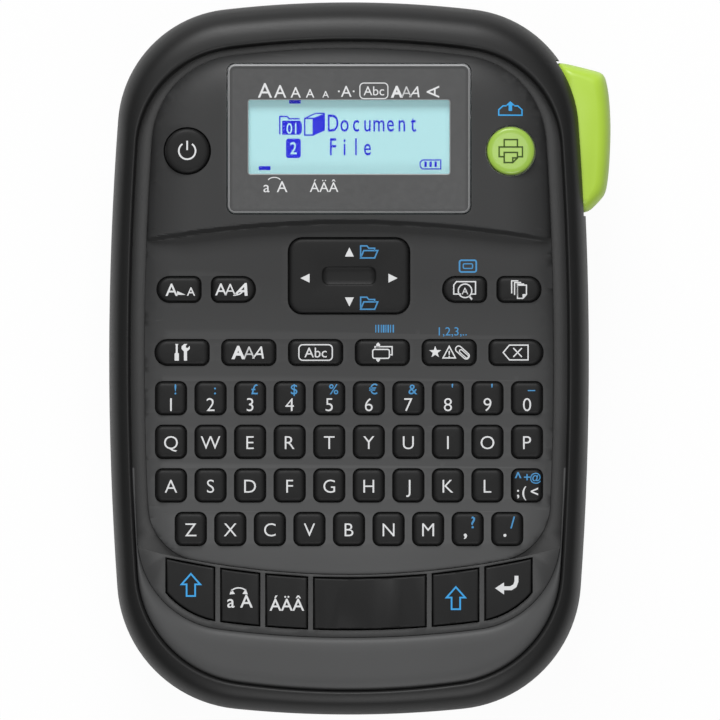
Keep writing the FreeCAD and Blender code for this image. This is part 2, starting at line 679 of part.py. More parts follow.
trough = INNER.prism(size("seam"), TROUGH_UNDER, TROUGH)
trough = trough.fuse(CASE.prism(size("wall") + size("seam"), TROUGH_UNDER - size("plate"), TROUGH_UNDER))
rib_block = CHIN_LINE.prism(size("seam"), TROUGH, BAND)
rib_block = rib_block.cut(disc_below_deck(size("seam"), TROUGH - 1, BAND + 1))
rib_block = rib_block.common(
    slab(-INNER_HALF, INNER_HALF, -size("body_bottom"), -size("band_start"), TROUGH, BAND))
trough = trough.fuse(rib_block)
opening = DECK_LINE.prism(size("deck_ledge"), TROUGH_UNDER - 2 * size("plate"), BAND + 1)
trough = trough.cut(opening)
for number in range(len(BAND_DIVIDERS) + 1):
    trough = trough.cut(band_slot(number, Size.of(0), TROUGH_UNDER - 2 * size("plate"), BAND + 1))
lip_room = size("key_lip") + size("running_gap")
below = band_region(0 - lip_room, TROUGH_UNDER - 2 * size("plate"), TROUGH_UNDER)
trough = trough.cut(below)
trough = trough.cut(slab(CASE_HALF - size("shelf_depth"), CASE_HALF, size("lever_low"), size("lever_top"),
                         TROUGH_UNDER - 2 * size("plate"), TROUGH_UNDER))
for x, y in CASE_SCREWS:
    column = Part.makeCylinder(size("boss_radius").value, (TROUGH_UNDER - SPLIT).value, vec(x, y, SPLIT))
    hole = Part.makeCylinder(size("screw_radius").value, size("screw_bite").value, vec(x, y, SPLIT))
    trough = trough.fuse(column).cut(hole)
feature("trough_bezel", trough.removeSplitter())

# ---- chin: the lighter crescent below the six keys ----
chin = INNER.prism(size("seam"), TROUGH, TROUGH + size("chin_rise"))
chin = chin.cut(CHIN_LINE.prism(0, TROUGH - 1, TROUGH + size("chin_rise") + 1))
chin = chin.common(slab(-INNER_HALF, INNER_HALF, -size("body_bottom"), -size("chin_tip"),
                        TROUGH, TROUGH + size("chin_rise")))
feature("chin_panel", chin)

# ---- places of the keys ----
LETTER_ROWS = [
    ("digit_keys", 0, 10),
    ("upper_letter_keys", 1, 10),
    ("home_letter_keys", 2, 10),
    ("lower_letter_keys", 3, 9),
]
FUNCTION_KEYS = ["setup_key", "style_key", "frame_key", "length_key", "symbol_key", "delete_key"]
ROUND_END = size("function_length") / 2 - size("seam")
UPPER_KEYS = [
    ("text_size_key", 0 - size("upper_outer"), True), ("font_key", 0 - size("upper_inner"), False),
    ("preview_key", size("upper_inner"), True), ("copies_key", size("upper_outer"), False),
]
BAND_KEYS = ["shift_left_key", "caps_key", "accent_key", "space_key", "shift_right_key", "return_key"]


def row_line(number):
    """The centre line of a row of letter keys."""
    return size("digit_row") - size("row_pitch") * number


def function_place(number):
    """The centre of a function key, across, and its left and right corner radii."""
    x = size("function_pitch") * (number - (len(FUNCTION_KEYS) - 1) / 2)
    left = ROUND_END if number == 0 else size("key_corner")
    right = ROUND_END if number == len(FUNCTION_KEYS) - 1 else size("key_corner")
    return x, left, right


# ---- face panel: the deck and the display hood, one moulding ----
panel = body("face_panel", z=TROUGH)
drawing = sketch(panel)
DECK_LINE.draw(drawing, size("hood_side"))
pad(panel, drawing, HOOD - TROUGH)
drawing = sketch(panel, size("deck_thick"))
ring(drawing, size("hood_radius"), 0, size("hood_edge") - size("hood_radius"))
pocket(panel, drawing, size("hood_rise"), up=True)
round_edges(panel, size("hood_roll"), flat_at(HOOD - TROUGH))
drawing = sketch(panel)
DECK_LINE.draw(drawing)
pad(panel, drawing, size("deck_thick"))
drawing = sketch(panel)
box(drawing, 2 * size("cavity_half"), size("cavity_top") - size("cavity_low"),
    0, (size("cavity_top") + size("cavity_low")) / 2, corner=size("cavity_corner"))
pocket(panel, drawing, HOOD_UNDER - TROUGH, up=True)
drawing = sketch(panel, HOOD - TROUGH - size("window_thick") + size("window_proud"))
box(drawing, size("window_width"), size("window_length"), 0, size("window_row"),
    corner=size("window_corner"))
pocket(panel, drawing, size("window_thick"), up=True)


def panel_hole(width, length, x, y, **corners):
    """A hole right through the face panel."""
    drawing = sketch(panel)
    box(drawing, width, length, x, y, **corners)
    pocket(panel, drawing, HOOD - TROUGH, up=True)


panel_hole(size("view_width"), size("view_length"), 0, size("view_row"), corner=size("key_corner"))
panel_hole(size("nav_width"), size("nav_length"), 0, size("nav_row"), corner=size("nav_corner"))
post(panel, size("power_radius"), HOOD - TROUGH, 0 - size("button_offset"), size("button_row"), cut=True)
post(panel, size("print_radius"), HOOD - TROUGH, size("button_offset"), size("button_row"), cut=True)
for name, x, outer_left in UPPER_KEYS:
    panel_hole(size("upper_width"), size("function_length"), x, size("upper_row"),
               left=ROUND_END if outer_left else size("key_corner"),
               right=size("key_corner") if outer_left else ROUND_END)
for number in range(len(FUNCTION_KEYS)):
    x, left, right = function_place(number)
    panel_hole(size("function_width"), size("function_length"), x, size("function_row"),
               left=left, right=right)
for name, row, count in LETTER_ROWS:
    drawing = sketch(panel)
    box(drawing, size("key_width"), size("key_length"), size("key_pitch") * (1 - count) / 2, row_line(row),
        corner=size("key_corner"))
    first = pocket(panel, drawing, size("deck_thick"), up=True)
    row_of(panel, first, drawing, count, size("key_pitch") * (count - 1))
for x, y in POSTS:
    post(panel, size("post_radius"), TROUGH - MAT_UNDER, x, y, MAT_UNDER - TROUGH)
    post(panel, size("board_screw"), size("post_bore"), x, y, MAT_UNDER - TROUGH, cut=True)

# ---- display: clear window over the liquid crystal module ----
window = body("display_window", 0, size("window_row"), HOOD + size("window_proud") - size("window_thick"))
drawing = sketch(window)
box(drawing, size("window_width") - 2 * size("window_gap"), size("window_length") - 2 * size("window_gap"),
    corner=size("window_corner") - size("window_gap"))
pad(window, drawing, size("window_thick"))
round_edges(window, size("key_edge"), flat_at(size("window_thick")))

module = body("lcd_module", 0, size("view_row"), HOOD_UNDER - size("lcd_thick"))
block(module, size("view_width") + 2 * size("lcd_margin"), size("view_length") + 2 * size("lcd_margin"),
      size("lcd_thick"))

# ---- keypad mat and main board, under all the keys ----
for name, level, thick, hole in (
    ("keypad_mat", MAT_UNDER, size("mat_thick"), size("post_radius") + size("seam")),
    ("main_board", BOARD_UNDER, size("plate"), size("board_screw")),
):
    sheet_part = body(name, z=level)
    drawing = sketch(sheet_part)
    box(drawing, 2 * size("board_half"), size("board_top") + size("board_low"),
        0, (size("board_top") - size("board_low")) / 2, corner=size("board_corner"))
    for x, y in POSTS:
        ring(drawing, hole, x, y)
    pad(sheet_part, drawing, thick)


# ---- keys ----
def key(name, x, y, width, length, left, right):
    """A sprung key: cap, flange under the panel, and plunger down to the mat."""
    made = body(name, x, y, PLUNGER_END)
    flange_top = TROUGH - size("running_gap")
    lip = size("key_lip")
    gap = size("key_gap")
    drawing = sketch(made, flange_top - size("flange_thick") - PLUNGER_END)
    box(drawing, width + 2 * lip, length + 2 * lip)
    pad(made, drawing, size("flange_thick"))
    drawing = sketch(made, flange_top - PLUNGER_END)
    box(drawing, width - 2 * gap, length - 2 * gap, left=left - gap, right=right - gap)
    pad(made, drawing, CAP_TOP - flange_top)
    round_edges(made, size("key_edge"), flat_at(CAP_TOP - PLUNGER_END))
    block(made, size("plunger"), size("plunger"), flange_top - PLUNGER_END)


for number, name in enumerate(FUNCTION_KEYS):
    x, left, right = function_place(number)
    key(name, x, size("function_row"), size("function_width"), size("function_length"), left, right)
for name, x, outer_left in UPPER_KEYS:
    left = ROUND_END if outer_left else size("key_corner")
    right = size("key_corner") if outer_left else ROUND_END
    key(name, x, size("upper_row"), size("upper_width"), size("function_length"), left, right)

for name, row, count in LETTER_ROWS:
    made = body(name, size("key_pitch") * (1 - count) / 2, row_line(row), PLUNGER_END)
    flange_top = TROUGH - size("running_gap")
    copies = []
    drawing = sketch(made, flange_top - size("flange_thick") - PLUNGER_END)
    box(drawing, size("key_width") + 2 * size("key_lip"), size("key_length") + 2 * size("key_lip"))
    copies.append(pad(made, drawing, size("flange_thick")))
    drawing = sketch(made, flange_top - PLUNGER_END)
    box(drawing, size("key_width") - 2 * size("key_gap"), size("key_length") - 2 * size("key_gap"),
        corner=size("key_corner") - size("key_gap"))
    copies.append(pad(made, drawing, CAP_TOP - flange_top))
    drawing = sketch(made)
    box(drawing, size("plunger"), size("plunger"))
    copies.append(pad(made, drawing, flange_top - PLUNGER_END))
    pattern = row_of(made, copies[0], drawing, count, size("key_pitch") * (count - 1))
    pattern.Originals = copies
    round_edges(made, size("key_edge"), flat_at(CAP_TOP - PLUNGER_END))

for name, side, radius in (
    ("power_button", -1, size("power_radius")), ("print_button", 1, size("print_radius")),
):
    made = body(name, size("button_offset") * side, size("button_row"), PLUNGER_END)
    flange_top = HOOD_UNDER - size("running_gap") - PLUNGER_END
    post(made, radius - size("key_gap"), HOOD + size("key_rise") - PLUNGER_END)
    round_edges(made, size("key_edge"), flat_at(HOOD + size("key_rise") - PLUNGER_END))
    post(made, radius + size("key_lip"), size("flange_thick"), z=flange_top - size("flange_thick"))

# ---- navigation pad: rocks both ways on the pivot under it ----
made = body("nav_pad", 0, size("nav_row"), PLUNGER_END)
flange_top = TROUGH - size("nav_drop") - PLUNGER_END
drawing = sketch(made, flange_top - size("flange_thick"))
box(drawing, size("nav_width") + 2 * size("key_lip"), size("nav_length") + 2 * size("key_lip"))
pad(made, drawing, size("flange_thick"))
drawing = sketch(made, flange_top)
box(drawing, size("nav_width") - 2 * size("key_gap"), size("nav_length") - 2 * size("key_gap"),
    corner=size("nav_corner"))
pad(made, drawing, CAP_TOP - PLUNGER_END - flange_top)
round_edges(made, size("key_edge"), flat_at(CAP_TOP - PLUNGER_END))
drawing = sketch(made, CAP_TOP - PLUNGER_END - size("nav_dish"))
box(drawing, size("dish_width"), size("dish_length"), corner=size("key_corner"))
pocket(made, drawing, size("nav_dish"), up=True)

rods = None
for across, along in ((1, 0), (0, 1)):
    way = FreeCAD.Vector(across, along, 0)
    foot = vec(0, size("nav_row"), MAT_TOP + size("nav_axis")) - way * (size("nav_rod_length") / 2).value
    rod_shape = Part.makeCylinder(size("nav_rod_radius").value, size("nav_rod_length").value, foot, way)
    rods = rods.fuse(rod_shape) if rods else rod_shape
feature("nav_pivot", rods)

# ---- the six keys of the lower band ----
for number, name in enumerate(BAND_KEYS):
    flange_top = TROUGH_UNDER - size("running_gap")
    cap = band_slot(number, size("key_gap"), flange_top, BAND + size("band_cap"))
    flange = band_region(0 - size("key_lip"), flange_top - size("flange_thick"), flange_top)
    slot = band_slot(number, Size.of(0), flange_top - size("flange_thick"), flange_top)
    x0, x1 = slot.BoundBox.XMin - size("band_lip"), slot.BoundBox.XMax + size("band_lip")
    flange = flange.common(
        slab(x0, x1, -size("chin_top"), 0, flange_top - size("flange_thick"), flange_top))
    at_top = flat_at(BAND + size("band_cap"))
    cap = cap.makeFillet(size("key_edge").value, [edge for edge in cap.Edges if at_top(edge)])
    feature(name, cap.fuse(flange).removeSplitter())

# ---- rear case: a tub that draws in towards its base, with two bays open below ----
tub = body("rear_case")


def tub_loft(kind, inset, low, middle, high):
    """A loft through three outlines: a chamfered lower edge, then the drawn-in side wall."""
    sections = []
    for level, draw_in in (
        (low, size("base_inset") + size("base_edge")), (middle, size("base_inset")), (high, Size.of(0)),
    ):
        drawing = sketch(tub, level)
        CASE.draw(drawing, draw_in + inset)
        sections.append(drawing)
    made = tub.newObject(kind, "Loft")
    made.Profile = sections[0]
    made.Sections = sections[1:]
    made.Ruled = True
    made.Refine = False


tub_loft("PartDesign::AdditiveLoft", Size.of(0), Size.of(0), size("base_edge"), SPLIT)
tub_loft("PartDesign::SubtractiveLoft", size("wall"), size("wall"), size("base_edge") + size("wall"), SPLIT)
BATTERY_MID = (size("battery_top") - size("battery_low")) / 2
BATTERY_SPAN = size("battery_top") + size("battery_low")
DOOR_MID = (size("door_top") + size("door_low")) / 2
DOOR_SPAN = size("door_top") - size("door_low")
block(tub, 2 * size("battery_half") + 2 * size("plate"), BATTERY_SPAN + 2 * size("plate"),
      size("battery_roof") + size("plate") - size("seam"), 0, BATTERY_MID, size("seam"))
block(tub, 2 * size("battery_half"), BATTERY_SPAN, size("battery_roof"), 0, BATTERY_MID, cut=True)
block(tub, 2 * size("door_half"), DOOR_SPAN, size("wall"), 0, DOOR_MID, cut=True)
for x, y in CASE_SCREWS:
    post(tub, size("boss_radius"), SPLIT - size("seam"), x, y, size("seam"))
    post(tub, size("screw_radius") + size("seam"), SPLIT, x, y, cut=True)
    post(tub, size("head_radius") + size("seam"), size("head_depth"), x, y, cut=True)
block(tub, size("lever_window") * 2, size("lever_top") - size("lever_low"), SPLIT - size("lever_foot"),
      CASE_HALF, (size("lever_top") + size("lever_low")) / 2, size("lever_foot"), cut=True)
block(tub, size("slot_width"), size("rim_top") * 2, size("slot_high") - size("slot_low"),
      size("tape_line"), CASE.top, size("slot_low"), cut=True)
block(tub, size("jack_depth") * 2, size("jack_width"), size("jack_height"), 0 - CASE_HALF,
      size("jack_row"), size("jack_low"), cut=True)

# ---- case screws, driven from below into the trough plate's bosses ----
def rod(radius, length, foot):
    """An upright cylinder on a foot point."""
    return Part.makeCylinder(Size.of(radius).value, Size.of(length).value, foot)


case_screws = []
for x, y in CASE_SCREWS:
    place = vec(x, y, size("head_depth"))
    under = place - vec(0, 0, size("head_thick"))
    shank = rod(size("screw_radius"), SPLIT + size("screw_bite") - size("head_depth"), place)
    screw = rod(size("head_radius"), size("head_thick"), under).fuse(shank)
    case_screws.append(screw.cut(rod(size("drive_radius"), size("drive_depth"), under)))
feature("case_screws", Part.makeCompound(case_screws))

board_screws = []
for x, y in POSTS:
    place = vec(x, y, BOARD_UNDER)
    shank = rod(size("board_screw"), size("plate") + size("post_bore"), place)
    head = rod(size("board_screw") * 2, size("head_thin"), place - vec(0, 0, size("head_thin")))
    board_screws.append(head.fuse(shank))
feature("board_screws", Part.makeCompound(board_screws))


# ---- battery bay: door, six cells, contacts ----
def crosswise(owner, kind, radius, length, x, y, z):
    """A cylinder lying along X, added to a body or taken from it."""
    made = owner.newObject("PartDesign::" + kind + "Cylinder", "Crosswise")
    made.Radius = Size.of(radius).value
    made.Height = Size.of(length).value
    made.Placement = FreeCAD.Placement(vec(x, y, z), FreeCAD.Rotation(FreeCAD.Vector(0, 1, 0), 90))
    bind(made, Radius=radius, Height=length)
    bind(made, Placement__Base__x=x, Placement__Base__y=y, Placement__Base__z=z)


def door(name, half, barrel_y, far_y):
    """A door in the floor, with a hinge barrel along one edge."""
    made = body(name, z=size("door_sink"))
    clear = size("running_gap")
    last = far_y - clear
    block(made, 2 * (half - clear), last - barrel_y, size("door_thick"), 0, (barrel_y + last) / 2)
    crosswise(made, "Additive", size("barrel_radius"), 2 * (half - clear), 0 - (half - clear), barrel_y,
              size("barrel_radius"))
    for start in (0 - (half - clear), half - clear - size("pin_length")):
        crosswise(made, "Subtractive", size("pin_radius") + size("pin_play"), size("pin_length"), start,
                  barrel_y, size("barrel_radius"))


BARREL = size("barrel_radius") + size("running_gap")
battery_barrel = BARREL - size("battery_low")
door_barrel = size("door_low") + BARREL
door("battery_cover", size("battery_half"), battery_barrel, size("battery_top"))
door("cassette_cover", size("door_half"), door_barrel, size("door_top"))

pins = []
for half, y in ((size("battery_half"), battery_barrel), (size("door_half"), door_barrel)):
    for side in (-1, 1):
        start = side * (half - size("running_gap") - size("pin_bite"))
        foot = vec(start, y, size("door_sink") + size("barrel_radius"))
        pins.append(Part.makeCylinder(size("pin_radius").value, (size("pin_length") * 2).value, foot,
                                      FreeCAD.Vector(side, 0, 0)))
feature("hinge_pins", Part.makeCompound(pins))

# ---- six cells in three rows of two, and their contact springs ----
cells = []
contacts = []
length = size("cell_length")
pad_half = size("contact_half")
for line in range(3):
    y = BATTERY_MID + (size("cell_radius") * 2 + size("running_gap")) * (line - 1)
    z = size("door_sink") + size("door_thick") + size("running_gap") + size("cell_radius")
    for side in (-1, 1):
        start = vec(side * size("seam"), y, z)
        along = FreeCAD.Vector(side, 0, 0)
        can = Part.makeCylinder(size("cell_radius").value, (length - size("cell_nub")).value, start, along)
        nub = Part.makeCylinder(size("nub_radius").value, size("cell_nub").value,
                                start + along * (length - size("cell_nub")).value, along)
        cells.append(can.fuse(nub))
        x0 = side * (length + size("seam"))
        x1 = side * size("battery_half")
        low, high = (x0, x1) if side > 0 else (x1, x0)
        contacts.append(slab(low, high, y - pad_half, y + pad_half, z - pad_half, z + pad_half))
feature("battery_cells", Part.makeCompound(cells))
feature("battery_contacts", Part.makeCompound(contacts))

# ---- power inlet: a moulded block in the left wall, with a round socket and a centre pin ----
jack = body("dc_jack", 0 - CASE_HALF + size("base_inset"), size("jack_row"), size("jack_low"))
block(jack, size("jack_depth"), size("jack_width") - 2 * size("seam"),
      size("jack_height") - 2 * size("seam"), size("jack_depth") / 2 - size("wall"), 0, size("seam"))
face = 0 - size("wall")
level = size("jack_height") / 2
crosswise(jack, "Subtractive", size("socket_radius"), size("socket_depth"), face, 0, level)
crosswise(jack, "Additive", size("centre_pin"), size("socket_depth") - size("seam"), face + size("seam"), 0, level)

# ---- tape cassette: case, lid, tape roll and the two ribbon spools ----
CASSETTE_MID = (size("cassette_left") + size("cassette_right")) / 2
CASSETTE_SPAN = size("cassette_right") - size("cassette_left")
CASSETTE_ROW = (size("cassette_low") + size("cassette_top")) / 2
CASSETTE_LENGTH = size("cassette_top") - size("cassette_low")
CASSETTE_FLOOR = size("door_sink") + size("door_thick") + size("running_gap")
SHELL = size("cassette_wall")
shell = body("cassette_case", CASSETTE_MID, CASSETTE_ROW, CASSETTE_FLOOR)
block(shell, CASSETTE_SPAN, CASSETTE_LENGTH, size("cassette_deep") - SHELL)
block(shell, CASSETTE_SPAN - 2 * SHELL, CASSETTE_LENGTH - 2 * SHELL, size("cassette_deep"), z=SHELL,
      cut=True)
block(shell, SHELL * 3, size("mouth"), size("cassette_deep"), CASSETTE_SPAN / 2,
      CASSETTE_LENGTH / 2 - size("mouth"), SHELL, cut=True)
lid = body("cassette_lid", CASSETTE_MID, CASSETTE_ROW, CASSETTE_FLOOR + size("cassette_deep") - SHELL)
block(lid, CASSETTE_SPAN, CASSETTE_LENGTH, SHELL)
spool_low = CASSETTE_FLOOR + SHELL + size("running_gap")
spool_tall = size("cassette_deep") - 2 * SHELL - 2 * size("running_gap")

# ---- gear train over the chassis: motor pinion, idler, platen gear and ribbon take-up gear ----
MODULE = size("gear_module")
ROOT_DEPTH = 1.2
TIP_HEIGHT = 0.8
ROOT_SHARE = 1.35
TIP_SHARE = 0.55


def pitch_radius(name):
    """Pitch radius of a gear, from its tooth count."""
    return (MODULE * size(name) / 2).value


def third_point(one, two, reach_one, reach_two, side):
    """The point at two distances from two others, on the given side of the line between them."""
    apart = math.dist(one, two)
    along = (reach_one ** 2 - reach_two ** 2 + apart ** 2) / (2 * apart)
    aside = math.sqrt(reach_one ** 2 - along ** 2) * side
    ux, uy = (two[0] - one[0]) / apart, (two[1] - one[1]) / apart
    return one[0] + ux * along - uy * aside, one[1] + uy * along + ux * aside


platen_radius = size("platen_radius")
PLATEN = ((size("tape_line") + size("running_gap") + platen_radius).value, size("platen_row").value)
MOTOR = (size("motor_x").value, size("motor_row").value)
idler_radius = pitch_radius("idler_teeth")
IDLER = third_point(MOTOR, PLATEN, idler_radius + pitch_radius("pinion_teeth"),
                    idler_radius + pitch_radius("platen_teeth"), 1)
reach = idler_radius + pitch_radius("takeup_teeth")
bearing = math.radians(size("takeup_bearing").value)
TAKEUP = (IDLER[0] + reach * math.cos(bearing), IDLER[1] + reach * math.sin(bearing))


def mesh_turn(place, teeth):
    """How far a gear is turned, in degrees, so that its teeth stand between the idler's."""
    heading = math.atan2(place[1] - IDLER[1], place[0] - IDLER[0])
    idler_count = size("idler_teeth").value
    count = size(teeth).value
    turn = heading + math.pi + math.pi / count + heading * idler_count / count
    return math.degrees(turn)


def gear(name, place, teeth, turn, z, bore):
    """A spur gear: a root disc with a pad for one tooth, repeated round the axis."""
    made = body(name, place[0], place[1], z, turn)
    count = int(size(teeth).value)
    pitch = pitch_radius(teeth)
    root = pitch - ROOT_DEPTH * MODULE.value
    tip = pitch + TIP_HEIGHT * MODULE.value
    thick = size("gear_thick")
    drawing = sketch(made)
    ring(drawing, MODULE * (size(teeth) / 2 - ROOT_DEPTH))
    pad(made, drawing, thick)
    drawing = sketch(made)
    half_pitch = math.pi * MODULE.value / 4 - size("backlash").value
    half_root, half_tip = half_pitch * ROOT_SHARE, half_pitch * TIP_SHARE
    inside = root - MODULE.value / 2
    flank = [(inside, half_root), (root, half_root), (tip, half_tip)]
    corners = [FreeCAD.Vector(x, -y, 0) for x, y in flank]
    corners += [FreeCAD.Vector(x, y, 0) for x, y in reversed(flank)]
    lines = [Part.LineSegment(corners[i], corners[(i + 1) % 6]) for i in range(6)]
    first = drawing.addGeometry(lines)[0]
    for i in range(6):
        drawing.addConstraint(Sketcher.Constraint("Coincident", first + i, 2, first + (i + 1) % 6, 1))
        drawing.addConstraint(Sketcher.Constraint("Block", first + i))
    tooth = pad(made, drawing, thick)
    ring_of = made.newObject("PartDesign::PolarPattern", "Teeth")
    ring_of.Originals = [tooth]
    ring_of.Axis = (drawing, ["N_Axis"])
    ring_of.Angle = 360
    ring_of.Occurrences = count
    made.Tip = ring_of
    if bore:
        post(made, bore, thick * 2, z=0 - thick / 2, cut=True)
    return made

# ---- chassis: the plate over the cassette that carries motor, gears, print head and platen ----
CHASSIS = CASSETTE_FLOOR + size("cassette_deep") + size("chassis_gap")
CHASSIS_TOP = CHASSIS + size("chassis_thick")
GEARS = CHASSIS_TOP + size("gear_lift")
PLAY = size("shaft_play")
chassis_mid = (size("chassis_right") + size("chassis_left")) / 2
chassis_row = (size("chassis_top_edge") + size("chassis_low_edge")) / 2
chassis = body("print_chassis", z=CHASSIS)
block(chassis, size("chassis_right") - size("chassis_left"),
      size("chassis_top_edge") - size("chassis_low_edge"), size("chassis_thick"), chassis_mid, chassis_row)
for x, y in CHASSIS_FEET:
    post(chassis, size("foot_radius"), CHASSIS - size("wall"), x, y, size("wall") - CHASSIS)
for x, y in CASE_SCREWS[-2:]:
    post(chassis, size("boss_radius") + size("running_gap"), size("chassis_thick"), x, y, cut=True)
post(chassis, size("axle_radius"), GEARS + size("gear_thick") + size("axle_proud") - CHASSIS, IDLER[0], IDLER[1])
for place, radius in (
    (PLATEN, size("axle_radius")), (TAKEUP, size("spindle_radius")), (MOTOR, size("motor_shaft")),
):
    post(chassis, radius + PLAY, size("chassis_thick"), place[0], place[1], cut=True)

motor = body("drive_motor", MOTOR[0], MOTOR[1], CHASSIS - size("motor_length"))
post(motor, size("motor_radius"), size("motor_length"))
round_edges(motor, size("key_edge"), flat_at(0))
post(motor, size("motor_shaft") + PLAY, size("motor_bite"), z=size("motor_length") - size("motor_bite"),
     cut=True)

pinion = gear("motor_pinion", MOTOR, "pinion_teeth", mesh_turn(MOTOR, "pinion_teeth"), GEARS, None)
post(pinion, size("motor_shaft"), GEARS - CHASSIS + size("motor_bite") - size("seam"),
     z=CHASSIS - size("motor_bite") + size("seam") - GEARS)
gear("idler_gear", IDLER, "idler_teeth", 0.0, GEARS, size("axle_radius") + PLAY)
platen = gear("platen_shaft", PLATEN, "platen_teeth", mesh_turn(PLATEN, "platen_teeth"), GEARS, None)
post(platen, size("axle_radius"), GEARS - size("platen_foot"), z=size("platen_foot") - GEARS)
takeup = gear("takeup_gear", TAKEUP, "takeup_teeth", mesh_turn(TAKEUP, "takeup_teeth"), GEARS, None)
post(takeup, size("spindle_radius"), GEARS - spool_low, z=spool_low - GEARS)

roller = body("platen_roller", PLATEN[0], PLATEN[1], size("platen_foot") + size("running_gap") * 3)
post(roller, platen_radius, CHASSIS - size("platen_foot") - size("running_gap") * 6)
post(roller, size("axle_radius") + size("snug"), CHASSIS, cut=True)

head = body("print_head", size("tape_line") - size("running_gap") - size("head_width") / 2,
            size("platen_row"), size("platen_foot"))
block(head, size("head_width"), size("head_length"), CHASSIS - size("platen_foot"))
anvil = body("fixed_blade", size("tape_line") - size("running_gap") - size("head_width") / 2,
             size("cut_row"), size("platen_foot"))
block(anvil, size("head_width"), size("blade_back"), CHASSIS - size("platen_foot"))

# ---- what turns inside the cassette ----
for name, place, outer, bore in (
    ("tape_roll", ROLL, size("roll_radius"), size("roll_bore")),
    ("ribbon_supply_spool", SUPPLY, size("supply_radius"), size("supply_bore")),
    ("ribbon_takeup_spool", TAKEUP, size("takeup_radius"), size("spindle_radius") + size("snug")),
):
    turning = body(name, place[0], place[1], spool_low)
    post(turning, outer, spool_tall)
    post(turning, bore, spool_tall, cut=True)
for place, bore in ((ROLL, size("roll_bore")), (SUPPLY, size("supply_bore"))):
    post(shell, bore - PLAY, SHELL + spool_tall, place[0] - CASSETTE_MID, place[1] - CASSETTE_ROW)
post(lid, size("spindle_radius") + size("running_gap"), SHELL, TAKEUP[0] - CASSETTE_MID,
     TAKEUP[1] - CASSETTE_ROW, cut=True)

# ---- cutter: green side lever on its pin, and the blade carriage that it pushes ----
LEVER_LOW = size("lever_foot") + size("lever_gap")
LEVER_HIGH = size("lever_head") - size("lever_gap")
# each corner's place out from the side wall and back from the tip, anticlockwise from the blunt end
LEVER_CORNERS = [(3.7, 3.0), (5.7, 17.0), (4.2, 34.0), (-0.8, 39.0)]
inner_side = CASE_HALF - size("lever_depth")
tip_line = size("lever_tip")
points = [
    vec(inner_side, tip_line - size("lever_heel"), LEVER_LOW), vec(inner_side, tip_line, LEVER_LOW),
    vec(inner_side + size("lever_nose"), tip_line, LEVER_LOW),
]
points += [vec(CASE_HALF + out, tip_line - back, LEVER_LOW) for out, back in LEVER_CORNERS]
edges = [Part.makeLine(points[i], points[i + 1]) for i in range(3)]
edges.append(Part.Arc(points[3], points[4], points[5]).toShape())
edges += [Part.makeLine(points[5], points[6]), Part.makeLine(points[6], points[0])]
lever = Part.Face(Part.Wire(edges)).extrude(vec(0, 0, LEVER_HIGH - LEVER_LOW))
upright = [
    edge for edge in lever.Edges
    if edge.BoundBox.ZLength > 1 and edge.BoundBox.XMin > CASE_HALF.value - size("wall").value]
lever = lever.makeFillet(size("lever_round").value, upright)
lever = lever.makeFillet(size("lever_edge").value, [
    edge for edge in lever.Edges
    if edge.BoundBox.ZLength < 1e-4 and edge.BoundBox.XMax > CASE_HALF.value and edge.BoundBox.YLength > 5])
PIVOT_X = CASE_HALF - size("pivot_depth")
pivot = vec(PIVOT_X, size("pivot_row"), 0)
lever = lever.cut(Part.makeCylinder((size("axle_radius") + PLAY).value, SPLIT.value * 2, pivot))
well = pivot + vec(0, 0, LEVER_HIGH - size("well_depth"))
lever = lever.cut(Part.makeCylinder(size("well_radius").value, size("well_depth").value, well))
feature("cutter_lever", lever)

feature("lever_pin", rod(size("axle_radius"), TROUGH_UNDER - size("pin_foot"),
                         pivot + vec(0, 0, size("pin_foot"))))
column_foot = size("door_sink") + size("door_thick") + size("running_gap") * 2
post(tub, size("column_radius"), size("lever_foot") - column_foot, PIVOT_X, size("pivot_row"),
     column_foot)
post(tub, size("axle_radius"), size("lever_foot"), PIVOT_X, size("pivot_row"), size("pin_foot"),
     cut=True)


def spiral(radius, step, turns):
    """Half circles round two centres in turn, each wider than the last by one step."""
    arcs = []
    for number in range(turns):
        side = 1 if number % 2 == 0 else -1
        centre = 0 if side > 0 else step
        reach = radius + step * number
        ends = [FreeCAD.Vector(centre + reach * way, 0, 0) for way in (side, -side)]
        top = FreeCAD.Vector(centre, side * reach, 0)
        arcs.append(Part.Arc(ends[0], top, ends[1]).toShape())
    return arcs


# ---- return spring: a flat spiral strip wound round the pin in the lever's well ----
strip = size("spring_strip").value
turns = int(size("spring_turns").value)
inner_arcs = spiral(size("axle_radius").value, size("spring_step").value, turns)
outer_arcs = spiral(size("axle_radius").value + strip, size("spring_step").value, turns)
first_end = Part.makeLine(inner_arcs[0].Vertexes[0].Point, outer_arcs[0].Vertexes[0].Point)
last_end = Part.makeLine(inner_arcs[-1].Vertexes[-1].Point, outer_arcs[-1].Vertexes[-1].Point)
loop = Part.Wire(Part.__sortEdges__(inner_arcs + outer_arcs + [first_end, last_end]))
strip_solid = Part.Face(loop).extrude(vec(0, 0, size("spring_tall")))
strip_solid.translate(well + vec(0, 0, size("running_gap")))
feature("lever_spring", strip_solid)

blade = body("cutter_blade", 0, size("cut_row"), size("platen_foot") + size("running_gap"))
tall = CHASSIS - size("platen_foot") - 2 * size("running_gap")
holder_left = size("blade_tip") + size("blade_edge_depth")
holder_right = inner_side - size("running_gap")
carriage = size("carriage_low") - size("platen_foot") - size("running_gap")
block(blade, holder_right - holder_left, size("blade_back") * 2, tall - carriage,
      (holder_right + holder_left) / 2, z=carriage)
block(blade, size("blade_edge_depth") * 2, size("blade_thick"), tall, holder_left)

